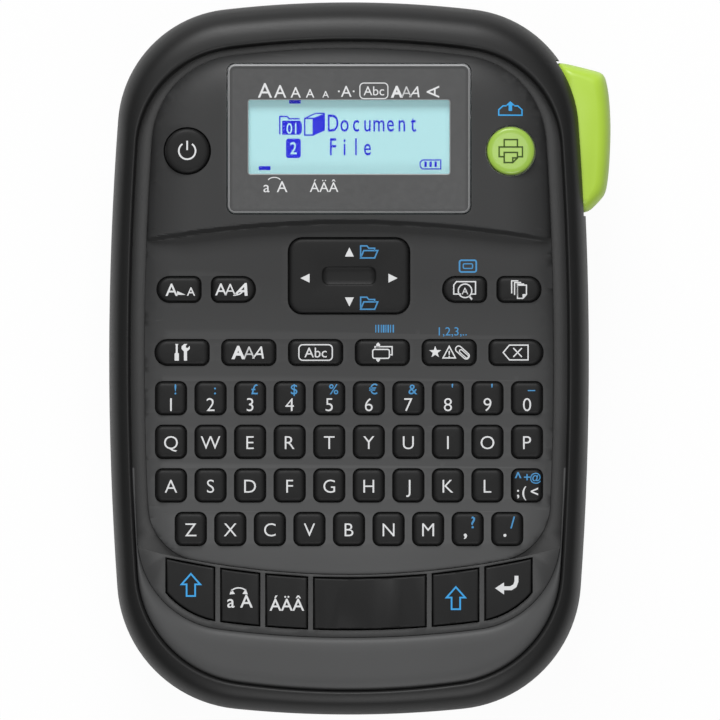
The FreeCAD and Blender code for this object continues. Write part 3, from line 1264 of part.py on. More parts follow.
# ---- check every object, then write one file for each sub-part ----
doc.recompute()
for item in doc.Objects:
    if "Invalid" in item.State or "Error" in item.State:
        raise SystemExit(f"{item.Label} failed: {item.State}")
os.makedirs("parts", exist_ok=True)
for item in sub_parts:
    if item.Shape.isNull() or not item.Shape.isValid():
        raise SystemExit(f"{item.Label} has no sound shape")
    item.Shape.exportStep(f"parts/{item.Label}.step")
    print(f"{item.Label:22s} {len(item.Shape.Solids):3d} solids {item.Shape.Volume:12.1f} mm3")
print(f"{len(sub_parts)} sub-parts")
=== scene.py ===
# %% [markdown]
# # A handheld label maker
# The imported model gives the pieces, their places and the bodies that move. This script gives them
# their looks. Everything is in metres, in the model's own frame: X across, Y along to the display's
# end, Z up out of the keyboard. Lengths that were thought of in millimetres are written times MM.

import json
import math

import bmesh
import bpy
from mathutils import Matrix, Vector
from mathutils.bvhtree import BVHTree

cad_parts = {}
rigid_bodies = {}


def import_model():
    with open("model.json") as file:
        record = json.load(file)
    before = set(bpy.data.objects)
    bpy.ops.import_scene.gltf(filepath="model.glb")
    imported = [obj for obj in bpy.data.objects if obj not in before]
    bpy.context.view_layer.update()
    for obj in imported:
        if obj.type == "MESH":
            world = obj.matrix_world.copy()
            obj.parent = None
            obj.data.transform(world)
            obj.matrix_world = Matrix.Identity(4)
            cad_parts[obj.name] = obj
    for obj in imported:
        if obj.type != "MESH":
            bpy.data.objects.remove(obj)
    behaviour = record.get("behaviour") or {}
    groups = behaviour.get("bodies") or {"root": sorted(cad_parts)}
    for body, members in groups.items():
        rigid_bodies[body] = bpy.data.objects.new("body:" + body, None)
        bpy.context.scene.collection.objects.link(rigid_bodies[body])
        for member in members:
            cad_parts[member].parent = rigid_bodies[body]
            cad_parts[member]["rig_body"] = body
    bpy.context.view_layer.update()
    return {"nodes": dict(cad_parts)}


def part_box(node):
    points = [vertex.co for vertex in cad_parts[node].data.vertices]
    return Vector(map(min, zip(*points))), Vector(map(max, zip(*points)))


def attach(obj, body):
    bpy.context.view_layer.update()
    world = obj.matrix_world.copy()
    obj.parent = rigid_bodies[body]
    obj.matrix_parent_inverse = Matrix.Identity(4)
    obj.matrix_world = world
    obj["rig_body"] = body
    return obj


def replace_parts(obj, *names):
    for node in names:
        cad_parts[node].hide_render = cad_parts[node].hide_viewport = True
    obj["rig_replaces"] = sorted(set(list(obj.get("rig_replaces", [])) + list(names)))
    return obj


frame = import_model()
MM = 0.001
print("nodes", len(frame["nodes"]))

# %% [markdown]
# ## Camera, floor and light
# The view is straight down on the keyboard. A wide lens close by would show the side walls leaning out,
# so a very long lens stands far away. A camera object is made by hand here, because the view is fixed
# and nothing else has to move it.

# %% Camera
scene = bpy.context.scene
scene.view_settings.view_transform = "Standard"
LENS = 800.0
SENSOR = 36.0
FIELD = 185.3 * MM
LOOK_AT = Vector((2.83 * MM, -0.26 * MM, 50.0 * MM))
camera_data = bpy.data.cameras.new("camera")
camera_data.lens = LENS
camera_data.sensor_width = SENSOR
camera = bpy.data.objects.new("camera", camera_data)
scene.collection.objects.link(camera)
camera.location = LOOK_AT + Vector((0, 0, FIELD * LENS / SENSOR))
scene.camera = camera
print("camera height", round(camera.location.z, 3))

# %% [markdown]
# ## Two helpers for everything that follows
# A mesh can be made by operators or from lists of points and faces. Lists are used, since each piece is
# worked out by a formula, and a normal pass at the end turns every face outwards. Materials start from
# an empty node tree, so that no setting is left over.

# %% New materials and meshes
def new_material(name):
    """A material with an empty node tree, its Principled shader and its output."""
    material = bpy.data.materials.new(name)
    material.use_nodes = True
    tree = material.node_tree
    tree.nodes.clear()
    output = tree.nodes.new("ShaderNodeOutputMaterial")
    shader = tree.nodes.new("ShaderNodeBsdfPrincipled")
    tree.links.new(shader.outputs["BSDF"], output.inputs["Surface"])
    return material, tree, shader, output


def mesh_object(name, vertices, faces, smooth=True):
    """A mesh object from plain lists, with its normals turned outwards."""
    data = bpy.data.meshes.new(name)
    data.from_pydata([tuple(v) for v in vertices], [], faces)
    work = bmesh.new()
    work.from_mesh(data)
    bmesh.ops.recalc_face_normals(work, faces=work.faces)
    work.to_mesh(data)
    work.free()
    made = bpy.data.objects.new(name, data)
    scene.collection.objects.link(made)
    for polygon in data.polygons:
        polygon.use_smooth = smooth
    return made


print("view", round(FIELD / MM, 1), "mm wide")

# %% [markdown]
# ## Floor
# The object lies on white paper. A bright enough lamp would bleach real paper and the object's edges
# with it. So the paper glows for the camera alone and stays plain matt for every other ray, which keeps
# its light off the black walls.

# %% White paper floor
FLOOR_HALF = 3.0
PAPER_GLOW = 0.96
corners = [(x * FLOOR_HALF, y * FLOOR_HALF, 0) for x, y in ((-1, -1), (1, -1), (1, 1), (-1, 1))]
floor = mesh_object("floor", corners, [(0, 1, 2, 3)])
material, tree, shader, output = new_material("floor_paper")
shader.inputs["Base Color"].default_value = (0.8, 0.8, 0.8, 1)
shader.inputs["Roughness"].default_value = 0.9
white = tree.nodes.new("ShaderNodeEmission")
white.inputs["Color"].default_value = (1, 1, 1, 1)
path = tree.nodes.new("ShaderNodeLightPath")
seen = tree.nodes.new("ShaderNodeMath")
seen.operation = "MAXIMUM"
tree.links.new(path.outputs["Is Camera Ray"], seen.inputs[0])
tree.links.new(path.outputs["Is Transmission Ray"], seen.inputs[1])
mix = tree.nodes.new("ShaderNodeMixShader")
lift = tree.nodes.new("ShaderNodeMath")
lift.operation = "MULTIPLY"
lift.inputs[1].default_value = PAPER_GLOW
tree.links.new(seen.outputs[0], lift.inputs[0])
tree.links.new(lift.outputs[0], mix.inputs["Fac"])
tree.links.new(shader.outputs["BSDF"], mix.inputs[1])
tree.links.new(white.outputs["Emission"], mix.inputs[2])
tree.links.new(mix.outputs["Shader"], output.inputs["Surface"])
floor.data.materials.append(material)
print("floor", 2 * FLOOR_HALF, "m wide")

# %% [markdown]
# ## Light
# Black plastic is seen by what it reflects. Small lamps would leave hard sparks on it, so three large
# soft squares are used: one behind the display's end, a weaker one at the foot and one overhead. A faint
# even world fills the gaps between the keys.

# %% Lamps and world
def lamp(name, place, aim, width, power):
    """A soft square lamp that faces the point aim."""
    data = bpy.data.lights.new(name, "AREA")
    data.shape = "SQUARE"
    data.size = width
    data.energy = power
    made = bpy.data.objects.new(name, data)
    made.location = place
    made.rotation_mode = "QUATERNION"
    made.rotation_quaternion = (Vector(aim) - Vector(place)).to_track_quat("-Z", "Y")
    scene.collection.objects.link(made)


LAMPS = (
    ("key_lamp", (-0.1, 0.95, 0.8), (0, 0.02, 0.04), 0.5, 13.0),
    ("foot_lamp", (0.1, -0.85, 0.75), (0, -0.02, 0.04), 0.5, 4.6),
    ("top_lamp", (0.0, 0.1, 1.3), (0, 0, 0.04), 0.4, 3.0),
)
WORLD_LEVEL = 0.15
for name, place, aim, width, power in LAMPS:
    lamp(name, place, aim, width, power)
world = bpy.data.worlds.new("studio")
world.use_nodes = True
world.node_tree.nodes["Background"].inputs["Color"].default_value = (1, 1, 1, 1)
world.node_tree.nodes["Background"].inputs["Strength"].default_value = WORLD_LEVEL
scene.world = world
print("lamps", len(LAMPS))

# %% [markdown]
# ## Moulded plastic and rubber
# Every black surface here is a different black: a textured frame, a smoother deck, satin rubber keys.
# One function writes them all, from a colour, a roughness and a grain. The grain is fine noise in the
# bump and the roughness, a slow noise shifts the tone a little, and pointiness paints a highlight on edges.
# The patterns read Object coordinates, so they stay on a piece when it moves.

# %% Finishes
def moulded(name, colour, roughness, grain=0.25, grain_scale=2600.0, edge_highlight=0.25, coat=0.0, specular=0.4):
    """Moulded plastic or rubber with a fine grain, a slow change of tone and a painted highlight on its edges."""
    material, tree, shader, output = new_material(name)
    place = tree.nodes.new("ShaderNodeTexCoord").outputs["Object"]

    def noise(scale, detail):
        made = tree.nodes.new("ShaderNodeTexNoise")
        made.inputs["Scale"].default_value = scale
        made.inputs["Detail"].default_value = detail
        tree.links.new(place, made.inputs["Vector"])
        return made.outputs["Fac"]

    def ramp(source, low, high, start=0.0, end=1.0):
        made = tree.nodes.new("ShaderNodeMapRange")
        made.inputs["From Min"].default_value = start
        made.inputs["From Max"].default_value = end
        made.inputs["To Min"].default_value = low
        made.inputs["To Max"].default_value = high
        tree.links.new(source, made.inputs["Value"])
        return made.outputs["Result"]

    fine = noise(grain_scale, 2.0)
    slow = noise(28.0, 3.0)
    tone = tree.nodes.new("ShaderNodeMix")
    tone.data_type = "RGBA"
    tone.inputs["A"].default_value = (*[c * 0.88 for c in colour], 1)
    tone.inputs["B"].default_value = (*[min(c * 1.12, 1.0) for c in colour], 1)
    tree.links.new(slow, tone.inputs["Factor"])
    # Painted highlight: pointiness lightens the convex edges, standing in for the light that they catch.
    edge_highlight_mix = tree.nodes.new("ShaderNodeMix")
    edge_highlight_mix.data_type = "RGBA"
    edge_highlight_mix.inputs["B"].default_value = (*[min(c * 1.6 + 0.02, 1.0) for c in colour], 1)
    edge = tree.nodes.new("ShaderNodeNewGeometry").outputs["Pointiness"]
    tree.links.new(ramp(edge, 0.0, edge_highlight, 0.52, 0.62), edge_highlight_mix.inputs["Factor"])
    tree.links.new(tone.outputs["Result"], edge_highlight_mix.inputs["A"])
    tree.links.new(edge_highlight_mix.outputs["Result"], shader.inputs["Base Color"])
    tree.links.new(ramp(fine, roughness - 0.06, roughness + 0.06), shader.inputs["Roughness"])
    bump = tree.nodes.new("ShaderNodeBump")
    bump.inputs["Strength"].default_value = grain
    bump.inputs["Distance"].default_value = 0.05 * MM
    tree.links.new(fine, bump.inputs["Height"])
    tree.links.new(bump.outputs["Normal"], shader.inputs["Normal"])
    shader.inputs["Coat Weight"].default_value = coat
    shader.inputs["Coat Roughness"].default_value = 0.15
    shader.inputs["Specular IOR Level"].default_value = specular
    return material


print("plastic and rubber share one recipe")

# %% [markdown]
# ## Colours as they are shown
# Shaders work in linear light, while a colour chart is read as it is shown. Typing linear values by feel
# goes wrong in the blacks, where a small step is a large one. Two helpers turn shown levels into linear
# ones, with a trace of blue in the greys as in real black plastic.

# %% Greys and colours as they are shown
def grey(value):
    """The linear colour of an even grey that shows as value out of 255."""
    level = value / 255
    linear = level / 12.92 if level <= 0.04045 else ((level + 0.055) / 1.055) ** 2.4
    return (linear, linear * 1.01, linear * 1.02)


def shown(red, green, blue):
    """The linear colour that shows as the given red, green and blue out of 255."""
    return grey(red)[0], grey(green)[0], grey(blue)[0]


print("mid grey", [round(c, 3) for c in grey(128)])

# %% [markdown]
# ## The finishes of this object
# Frame, deck, trough, chin, keys and case are six different blacks, and the print button and the lever
# are two greens. The deck grows lighter towards its foot. Lamps could do that only by lighting the keys
# too, so its colour is scaled along Y instead.

# %% Blacks and greens
FRAME_BLACK = moulded("frame_black", grey(24), 0.45, grain=0.3, specular=0.3)
DECK_GREY = moulded("deck_grey", grey(58), 0.55, grain=0.3, specular=0.3)
TROUGH_BLACK = moulded("trough_black", grey(26), 0.4, grain=0.15)
CHIN_GREY = moulded("chin_grey", grey(70), 0.5, grain=0.25, specular=0.3)
KEY_RUBBER = moulded("key_rubber", grey(20), 0.55, grain=0.2, edge_highlight=0.15, specular=0.25)
CASE_BLACK = moulded("case_black", grey(34), 0.55, grain=0.5, grain_scale=1500.0)
PRINT_GREEN = moulded("print_green", shown(150, 186, 70), 0.4, grain=0.08, edge_highlight=0.1, coat=0.3)
LEVER_GREEN = moulded("lever_green", shown(172, 206, 68), 0.4, grain=0.15, edge_highlight=0.1)
INNER_GREY = moulded("inner_grey", grey(120), 0.5)
INNER_WHITE = moulded("inner_white", grey(215), 0.45)
print("finishes", len([m for m in bpy.data.materials if m.use_nodes]))

# %% [markdown]
# ## Tone of the deck
# The deck is one grey plastic, which looks lighter at its foot, where it faces the light. Lamps that do
# this alone would wash out the keys as well. Its colour is therefore scaled along Y in the material, which
# stands in for the light and is not a property of the real plastic.

# %% Tone of the deck along its length
tree = DECK_GREY.node_tree
shader = tree.nodes["Principled BSDF"]
split = tree.nodes.new("ShaderNodeSeparateXYZ")
tree.links.new(tree.nodes.new("ShaderNodeTexCoord").outputs["Object"], split.inputs[0])
tone = tree.nodes.new("ShaderNodeMapRange")
for label, value in (("From Min", -0.055), ("From Max", 0.02), ("To Min", 1.75), ("To Max", 0.7)):
    tone.inputs[label].default_value = value
tree.links.new(split.outputs["Y"], tone.inputs["Value"])
toned = tree.nodes.new("ShaderNodeVectorMath")
toned.operation = "SCALE"
tree.links.new(shader.inputs["Base Color"].links[0].from_socket, toned.inputs[0])
tree.links.new(tone.outputs["Result"], toned.inputs["Scale"])
tree.links.new(toned.outputs["Vector"], shader.inputs["Base Color"])
print("deck nodes", len(tree.nodes))


# %% [markdown]
# ## Painted light where the shape says so
# Rib tops are painted lighter than the floor between them, and a chamfered edge is painted lighter than
# the flat beside it, both standing in for light and shade. Separate meshes could carry the second colour. A
# blend in the material, driven by height or by the way that the surface faces, needs no extra mesh and
# follows the shape by itself.

# %% Painted light blended in by a coordinate
def painted_light_blend(material, coordinate, start, end, colour):
    """Paint light into the base colour by blending it into a lighter one as a coordinate's Z goes from start to
    end.
    """
    tree = material.node_tree
    shader = tree.nodes["Principled BSDF"]
    split = tree.nodes.new("ShaderNodeSeparateXYZ")
    tree.links.new(tree.nodes.new("ShaderNodeTexCoord").outputs[coordinate], split.inputs[0])
    share = tree.nodes.new("ShaderNodeMapRange")
    share.inputs["From Min"].default_value = start
    share.inputs["From Max"].default_value = end
    tree.links.new(split.outputs["Z"], share.inputs["Value"])
    blend = tree.nodes.new("ShaderNodeMix")
    blend.data_type = "RGBA"
    blend.inputs["B"].default_value = (*colour, 1)
    tree.links.new(share.outputs["Result"], blend.inputs["Factor"])
    tree.links.new(shader.inputs["Base Color"].links[0].from_socket, blend.inputs["A"])
    tree.links.new(blend.outputs["Result"], shader.inputs["Base Color"])


print("materials so far", len(bpy.data.materials))

# %% [markdown]
# ## Inks
# The signs are printed on, thin and even. A decal image would blur close up, so the signs become flat
# meshes later on, and here they only get inks. The display's marks glow a little, as the cell under them does.

# %% Inks
def ink(name, colour, glow=0.0):
    """Printed ink, with a trace of uneven cover and a fine tooth."""
    material = moulded(name, colour, 0.5, grain=0.1, grain_scale=4000.0, edge_highlight=0.0, specular=0.2)
    if glow:
        shader = material.node_tree.nodes["Principled BSDF"]
        shader.inputs["Emission Color"].default_value = (*colour, 1)
        shader.inputs["Emission Strength"].default_value = glow
    return material


WHITE_INK = ink("white_ink", grey(215))
BLUE_INK = ink("blue_ink", shown(72, 140, 190))
ARROW_INK = ink("arrow_ink", shown(62, 158, 220))
SCREEN_INK = ink("screen_ink", shown(6, 16, 210), glow=0.1)
PALE_INK = ink("pale_ink", grey(190))
print("inks", len([m for m in bpy.data.materials if m.name.endswith("_ink")]))

# %% [markdown]
# ## The outline family
# Rim, deck and chin all follow one kind of outline: eight arcs that run into each other, an end crown,
# a side crown and a corner, mirrored. A spline through hand-placed points would wobble, so the arc
# centres are worked out from the radii, and every outline has the same number of points. Two outlines
# can then be blended point by point, which is how the rolled rim is swept.

# %% Outlines of tangent arcs
SIDE_CROWN = 829.0
ARC_STEPS = (16, 22, 26, 22, 16, 22, 26, 22)


def arc_centres(half, end, crown, corner, sign):
    """Centres of an end crown, the side crown and the corner between them, in millimetres."""
    one = Vector((0, sign * (end - crown)))
    two = Vector((half - SIDE_CROWN, 0))
    reach_one, reach_two = crown - corner, SIDE_CROWN - corner
    apart = (two - one).length
    along = (reach_one ** 2 - reach_two ** 2 + apart ** 2) / (2 * apart)
    aside = math.sqrt(max(reach_one ** 2 - along ** 2, 0))
    unit = (two - one) / apart
    normal = Vector((-unit.y, unit.x))
    found = [one + unit * along + normal * aside * way for way in (1, -1)]
    return one, two, max(found, key=lambda p: p.x + sign * p.y)


def outline(half, top, bottom, crowns, corners, inset=0.0):
    """Points of an eight-arc outline, anticlockwise from the right side's lower end."""
    top_end, side, top_corner = arc_centres(half, top, crowns[0], corners[0], 1)
    low_end, side, low_corner = arc_centres(half, bottom, crowns[1], corners[1], -1)

    def mirrored(p):
        return Vector((-p.x, p.y))

    def reach(centre, corner, radius):
        return centre + (corner - centre).normalized() * (radius - inset)

    ends = [reach(side, low_corner, SIDE_CROWN), reach(side, top_corner, SIDE_CROWN),
            reach(top_end, top_corner, crowns[0])]
    ends += [mirrored(ends[2]), mirrored(ends[1]), mirrored(ends[0])]
    low = reach(low_end, low_corner, crowns[1])
    ends += [mirrored(low), low]
    middles = [side, top_corner, top_end, mirrored(top_corner), mirrored(side), mirrored(low_corner),
               low_end, low_corner]
    points = []
    for i, (middle, steps) in enumerate(zip(middles, ARC_STEPS)):
        start, end = ends[i] - middle, ends[(i + 1) % 8] - middle
        turn = start.angle_signed(end)
        for step in range(steps):
            angle = -turn * step / steps
            c, s = math.cos(angle), math.sin(angle)
            points.append(middle + Vector((start.x * c - start.y * s, start.x * s + start.y * c)))
    return points


print("steps round an outline", sum(ARC_STEPS))

# %% [markdown]
# ## Four outlines from a few sizes
# The case, the rim's inner edge, the deck and the chin are four lines of one family. Tracing each by hand
# would let them drift apart. They are worked out from the front frame's box and a few distances, so the
# gaps between them stay even all the way round.

# %% Driving sizes and the four outlines
RIM_BREADTH = 5.6
DECK_RISE = 3.0
low_box, high_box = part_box("front_frame")
HALF, TOP, BOTTOM = high_box.x / MM, high_box.y / MM, -low_box.y / MM
SPLIT, RIM_TOP = low_box.z / MM, high_box.z / MM
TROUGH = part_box("chin_panel")[0].z / MM
DECK = TROUGH + DECK_RISE
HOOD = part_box("face_panel")[1].z / MM
INNER_HALF = HALF - RIM_BREADTH


def case_line(inset=0.0):
    """The body's outline."""
    return outline(HALF, TOP, BOTTOM, (280.5, 291.0), (31.0, 33.9), inset)


def rim_line(inset=0.0):
    """The rim's inner edge."""
    return outline(INNER_HALF, TOP - 10.25, BOTTOM - 6.4, (230.0, 205.0), (26.8, 30.2), inset)


def deck_line(inset=0.0):
    """The edge of the keyboard deck."""
    return outline(INNER_HALF - 3.8, TOP - 12.3, 55.5, (240.0, 217.0), (23.0, 14.9), inset)


def chin_line(inset=0.0):
    """The upper edge of the chin."""
    return outline(INNER_HALF - 0.6, TOP - 10.25, 71.8, (230.0, 262.0), (26.8, 24.0), inset)


print("outline points", len(case_line()), "frame", round(HALF, 2), round(TOP, 2), round(BOTTOM, 2))

# %% [markdown]
# ## Front frame
# The rim is one soft roll: its side wall rises straight, leans in, turns over at a ridge near the inner
# edge and drops into a dark gap. Each step of that profile is a blend between the outer outline and the
# inner one, so the roll is narrow at the sides and broad at the display's end without any extra work.

# %% Walls through rings
def ring_wall(name, rings, closed=True):
    """A smooth skin through rings of equal length. Each ring is a list of points in millimetres."""
    count = len(rings[0])
    vertices = [Vector(p) * MM for ring in rings for p in ring]
    faces = []
    for level in range(len(rings) - 1 + (1 if closed else 0)):
        here = level * count
        above = ((level + 1) % len(rings)) * count
        for i in range(count):
            j = (i + 1) % count
            faces.append((here + i, here + j, above + j, above + i))
    return mesh_object(name, vertices, faces)


def lifted(points, height):
    """A ring of plan points at a height, as three numbers each."""
    return [(p[0], p[1], height) for p in points]


print("a ring of three", lifted([(0, 0), (1, 0), (0, 1)], 2))

# %% Sweep the rim
RIM_PROFILE = [
    (0.0, SPLIT), (0.0, SPLIT + 2.5), (0.012, SPLIT + 8.0), (0.05, SPLIT + 13.0), (0.14, SPLIT + 16.4),
    (0.27, SPLIT + 18.6), (0.42, SPLIT + 20.0), (0.57, SPLIT + 20.8), (0.72, SPLIT + 21.2),
    (0.84, RIM_TOP - 0.05), (0.9, RIM_TOP), (0.945, SPLIT + 21.3), (0.98, SPLIT + 20.8), (1.0, SPLIT + 20.0),
]
SEAM_COVER = 0.16
outer, inner = case_line(), rim_line()
rings = []
for share, height in RIM_PROFILE:
    ring = [(a.x + (b.x - a.x) * share, a.y + (b.y - a.y) * share, height) for a, b in zip(outer, inner)]
    rings.append(ring)
rings += [lifted(rim_line(SEAM_COVER), SPLIT + 18.1), lifted(rim_line(SEAM_COVER), SPLIT + 18.0)]
rings += [lifted(case_line(2.4), SPLIT + 16.4), lifted(case_line(2.4), SPLIT)]
frame_piece = ring_wall("rim", rings)
print("rim rings", len(rings))

# %% [markdown]
# ## The lever's window
# The right side wall is open where the lever comes out. Leaving faces out would show the wall as a thin
# sheet, so a block is cut away with a boolean, which closes the wall's thickness. Baking the modifier
# into the mesh keeps the piece plain, and settling it names the body that carries it.

# %% Cut, bake and settle
def carve(piece, low, high):
    """Cut a block, given by two corners in millimetres, out of a piece."""
    x0, y0, z0 = low
    x1, y1, z1 = high
    corners = [Vector((x, y, z)) * MM for z in (z0, z1) for x, y in ((x0, y0), (x1, y0), (x1, y1), (x0, y1))]
    sides = [(3, 2, 1, 0), (4, 5, 6, 7), (0, 1, 5, 4), (1, 2, 6, 5), (2, 3, 7, 6), (3, 0, 4, 7)]
    cutter = mesh_object("cutter", corners, sides, smooth=False)
    cut = piece.modifiers.new("cut", "BOOLEAN")
    cut.operation = "DIFFERENCE"
    cut.object = cutter
    cut.solver = "EXACT"
    bake(piece)
    bpy.data.objects.remove(cutter)


def bake(piece):
    """Turn a piece's modifiers into its mesh."""
    graph = bpy.context.evaluated_depsgraph_get()
    data = bpy.data.meshes.new_from_object(piece.evaluated_get(graph))
    piece.modifiers.clear()
    piece.data = data


def settle(piece, material, body, *nodes, slot=None, sharp=None):
    """Give a finished piece its material, its body and the nodes that it stands for."""
    piece.data.materials.clear()
    piece.data.materials.append(material)
    if sharp is not None:
        piece.data.set_sharp_from_angle(angle=math.radians(sharp))
    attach(piece, body)
    if nodes:
        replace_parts(piece, *nodes)


print("tools ready for", frame_piece.name)

# %% Cut the lever's window
lever_box = [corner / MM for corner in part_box("cutter_lever")]
LEVER_ROOM = 0.6
carve(frame_piece, (lever_box[0].x - 4, lever_box[0].y - LEVER_ROOM, SPLIT - 1),
      (HALF + 10, lever_box[1].y + LEVER_ROOM, lever_box[1].z + 0.5))
settle(frame_piece, FRAME_BLACK, "case", "front_frame", slot="frame_black", sharp=50)
print("rim faces", len(frame_piece.data.polygons))

# %% [markdown]
# ## Face panel: deck and display hood
# Deck and hood are one moulding. Its plan is cut out first, as a filled curve with every key opening in
# it, because a curve keeps round corners exact. The sheet is then scored into a fine grid and pressed to
# a height field: the edges roll off, and the hood swells up behind a curved step. The openings keep
# their edges, which a grid alone would tear.

# %% Rounded rectangles and circles
def rounded(width, length, x=0.0, y=0.0, left=2.0, right=None, steps=6):
    """Points of a rounded rectangle, anticlockwise, with its own radius at each side."""
    right = left if right is None else right
    points = []
    for cx, cy, radius, start in (
        (x + width / 2 - right, y - length / 2 + right, right, -90),
        (x + width / 2 - right, y + length / 2 - right, right, 0),
        (x - width / 2 + left, y + length / 2 - left, left, 90),
        (x - width / 2 + left, y - length / 2 + left, left, 180),
    ):
        for step in range(steps + 1):
            angle = math.radians(start + 90 * step / steps)
            points.append(Vector((cx + radius * math.cos(angle), cy + radius * math.sin(angle))))
    return points


def circle(radius, x=0.0, y=0.0, steps=48):
    """Points of a circle."""
    angles = [2 * math.pi * i / steps for i in range(steps)]
    return [Vector((x + radius * math.cos(angle), y + radius * math.sin(angle))) for angle in angles]


def filled(name, loops):
    """A flat mesh bounded by loops of points in millimetres, the later ones being holes."""
    data = bpy.data.curves.new(name, "CURVE")
    data.dimensions = "2D"
    data.fill_mode = "BOTH"
    for loop in loops:
        spline = data.splines.new("POLY")
        spline.points.add(len(loop) - 1)
        for target, point in zip(spline.points, loop):
            target.co = (point.x * MM, point.y * MM, 0, 1)
        spline.use_cyclic_u = True
    holder = bpy.data.objects.new(name, data)
    scene.collection.objects.link(holder)
    bpy.context.view_layer.update()
    flat = bpy.data.meshes.new_from_object(holder.evaluated_get(bpy.context.evaluated_depsgraph_get()))
    bpy.data.objects.remove(holder)
    return flat


print("a circle has", len(circle(1.0)), "points")

# %% [markdown]
# ## Openings
# Every key and button stands in its own opening, and the gap round it shows as a dark line. The openings
# could be cut by booleans, one after another, which is slow and fragile. Listing them as outlines lets one
# filled curve make them all, and their places come from the boxes of the keys.

# %% Openings of the deck
PITCH = 10.18
ROUND_END = 3.4
CORNER = 2.0


def node_middle(name):
    """The middle of a node's box, in millimetres."""
    low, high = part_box(name)
    return (low + high) / 2 / MM


def node_span(name):
    """The size of a node's box, in millimetres."""
    low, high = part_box(name)
    return (high - low) / MM


LIP = 0.45
UPPER_KEY, FUNCTION_KEY = (11.7, 7.0), (14.3, 7.0)
LEFT_END, RIGHT_END, SQUARE = (ROUND_END, CORNER), (CORNER, ROUND_END), (CORNER, CORNER)
LETTER_ROWS = {"digit_keys": 10, "upper_letter_keys": 10, "home_letter_keys": 10, "lower_letter_keys": 9}
SINGLE_KEYS = {
    "text_size_key": UPPER_KEY + LEFT_END, "font_key": UPPER_KEY + RIGHT_END,
    "preview_key": UPPER_KEY + LEFT_END, "copies_key": UPPER_KEY + RIGHT_END,
    "setup_key": FUNCTION_KEY + LEFT_END, "style_key": FUNCTION_KEY + SQUARE,
    "frame_key": FUNCTION_KEY + SQUARE, "length_key": FUNCTION_KEY + SQUARE,
    "symbol_key": FUNCTION_KEY + SQUARE, "delete_key": FUNCTION_KEY + RIGHT_END,
    "nav_pad": (31.6, 20.0, 3.8, 3.8),
}
LETTER_HOLE = (8.36, 8.9, CORNER, CORNER)


def row_places(name):
    """The centres of the keys in a row, in millimetres."""
    count = LETTER_ROWS[name]
    middle = node_middle(name)
    return [(middle.x + PITCH * (i - (count - 1) / 2), middle.y) for i in range(count)]


holes = []
for name in LETTER_ROWS:
    width, length, left, right = LETTER_HOLE
    holes += [rounded(width, length, x, y, left, right) for x, y in row_places(name)]
for name, (width, length, left, right) in SINGLE_KEYS.items():
    middle = node_middle(name)
    holes.append(rounded(width, length, middle.x, middle.y, left, right))
for name in ("power_button", "print_button"):
    middle = node_middle(name)
    holes.append(circle(node_span(name).x / 2 - LIP, middle.x, middle.y))
window_middle, window_span = node_middle("display_window"), node_span("display_window")
WINDOW_GAP = 0.25
holes.append(rounded(window_span.x + 2 * WINDOW_GAP, window_span.y + 2 * WINDOW_GAP, window_middle.x,
                     window_middle.y, 2.2))
print("openings", len(holes))

# %% [markdown]
# ## Heights
# The deck is nearly flat with a soft edge, and the hood stands a little higher behind a curved step.
# Sculpting would give the same form without exact heights. A height worked out from the plan place and
# from the distance to the edge is exact and can be changed by one number.

# %% Height of the deck and the hood
HOOD_EDGE = 35.0
HOOD_CROWN = 290.0
DECK_ROLL, DECK_DROP = 8.0, 1.9
HOOD_ROLL, HOOD_DROP = 12.0, 3.7
STEP_WIDTH = 1.3
STEP_LINES = (29.5, 37.5, 0.4)
DECK_LINE = deck_line()


def edge_distance(point, line):
    """The distance from a point to a closed line."""
    best = 1e9
    for i, a in enumerate(line):
        b = line[(i + 1) % len(line)]
        span = b - a
        share = max(0.0, min(1.0, (point - a).dot(span) / span.length_squared))
        best = min(best, (point - a - span * share).length)
    return best


def smooth(value):
    """An eased step from 0 to 1."""
    value = max(0.0, min(1.0, value))
    return value * value * (3 - 2 * value)


def roll_off(distance, width, drop):
    """How far a surface has sunk at a distance from its rolled edge."""
    if distance >= width:
        return 0.0
    share = 1 - distance / width
    return drop * (1 - math.sqrt(max(0.0, 1 - share * share * 0.985)))


def deck_height(x, y, distance):
    """The height of the moulding at x, y, in millimetres."""
    radius = math.hypot(x, y - (HOOD_EDGE - HOOD_CROWN))
    above = smooth((radius - HOOD_CROWN + 0.4) / STEP_WIDTH)
    low = DECK - roll_off(distance, DECK_ROLL, DECK_DROP)
    high = HOOD - roll_off(distance, HOOD_ROLL, HOOD_DROP + DECK_DROP)
    return low + (high - low) * above


print("deck", round(DECK, 2), "hood", round(HOOD, 2))

# %% Score the sheet
def cut_through(work, place, way, **options):
    """Cut every face of a mesh where a plane meets it."""
    geometry = work.verts[:] + work.edges[:] + work.faces[:]
    bmesh.ops.bisect_plane(work, geom=geometry, plane_co=place, plane_no=way, **options)


GRID = 1.7
flat = filled("face", [DECK_LINE] + holes)
work = bmesh.new()
work.from_mesh(flat)
bmesh.ops.remove_doubles(work, verts=work.verts, dist=0.001 * MM)
REACH = (53.0, 82.0)
for axis, reach in enumerate(REACH):
    line = -reach
    while line < reach:
        place, normal = Vector((0, 0, 0)), Vector((0, 0, 0))
        place[axis], normal[axis] = line * MM, 1.0
        cut_through(work, place, normal, dist=1e-7)
        line += GRID
line, last, gap = STEP_LINES
while line < last:
    cut_through(work, Vector((0, line * MM, 0)), Vector((0, 1, 0)), dist=1e-7)
    line += gap
print("scored faces", len(work.faces))

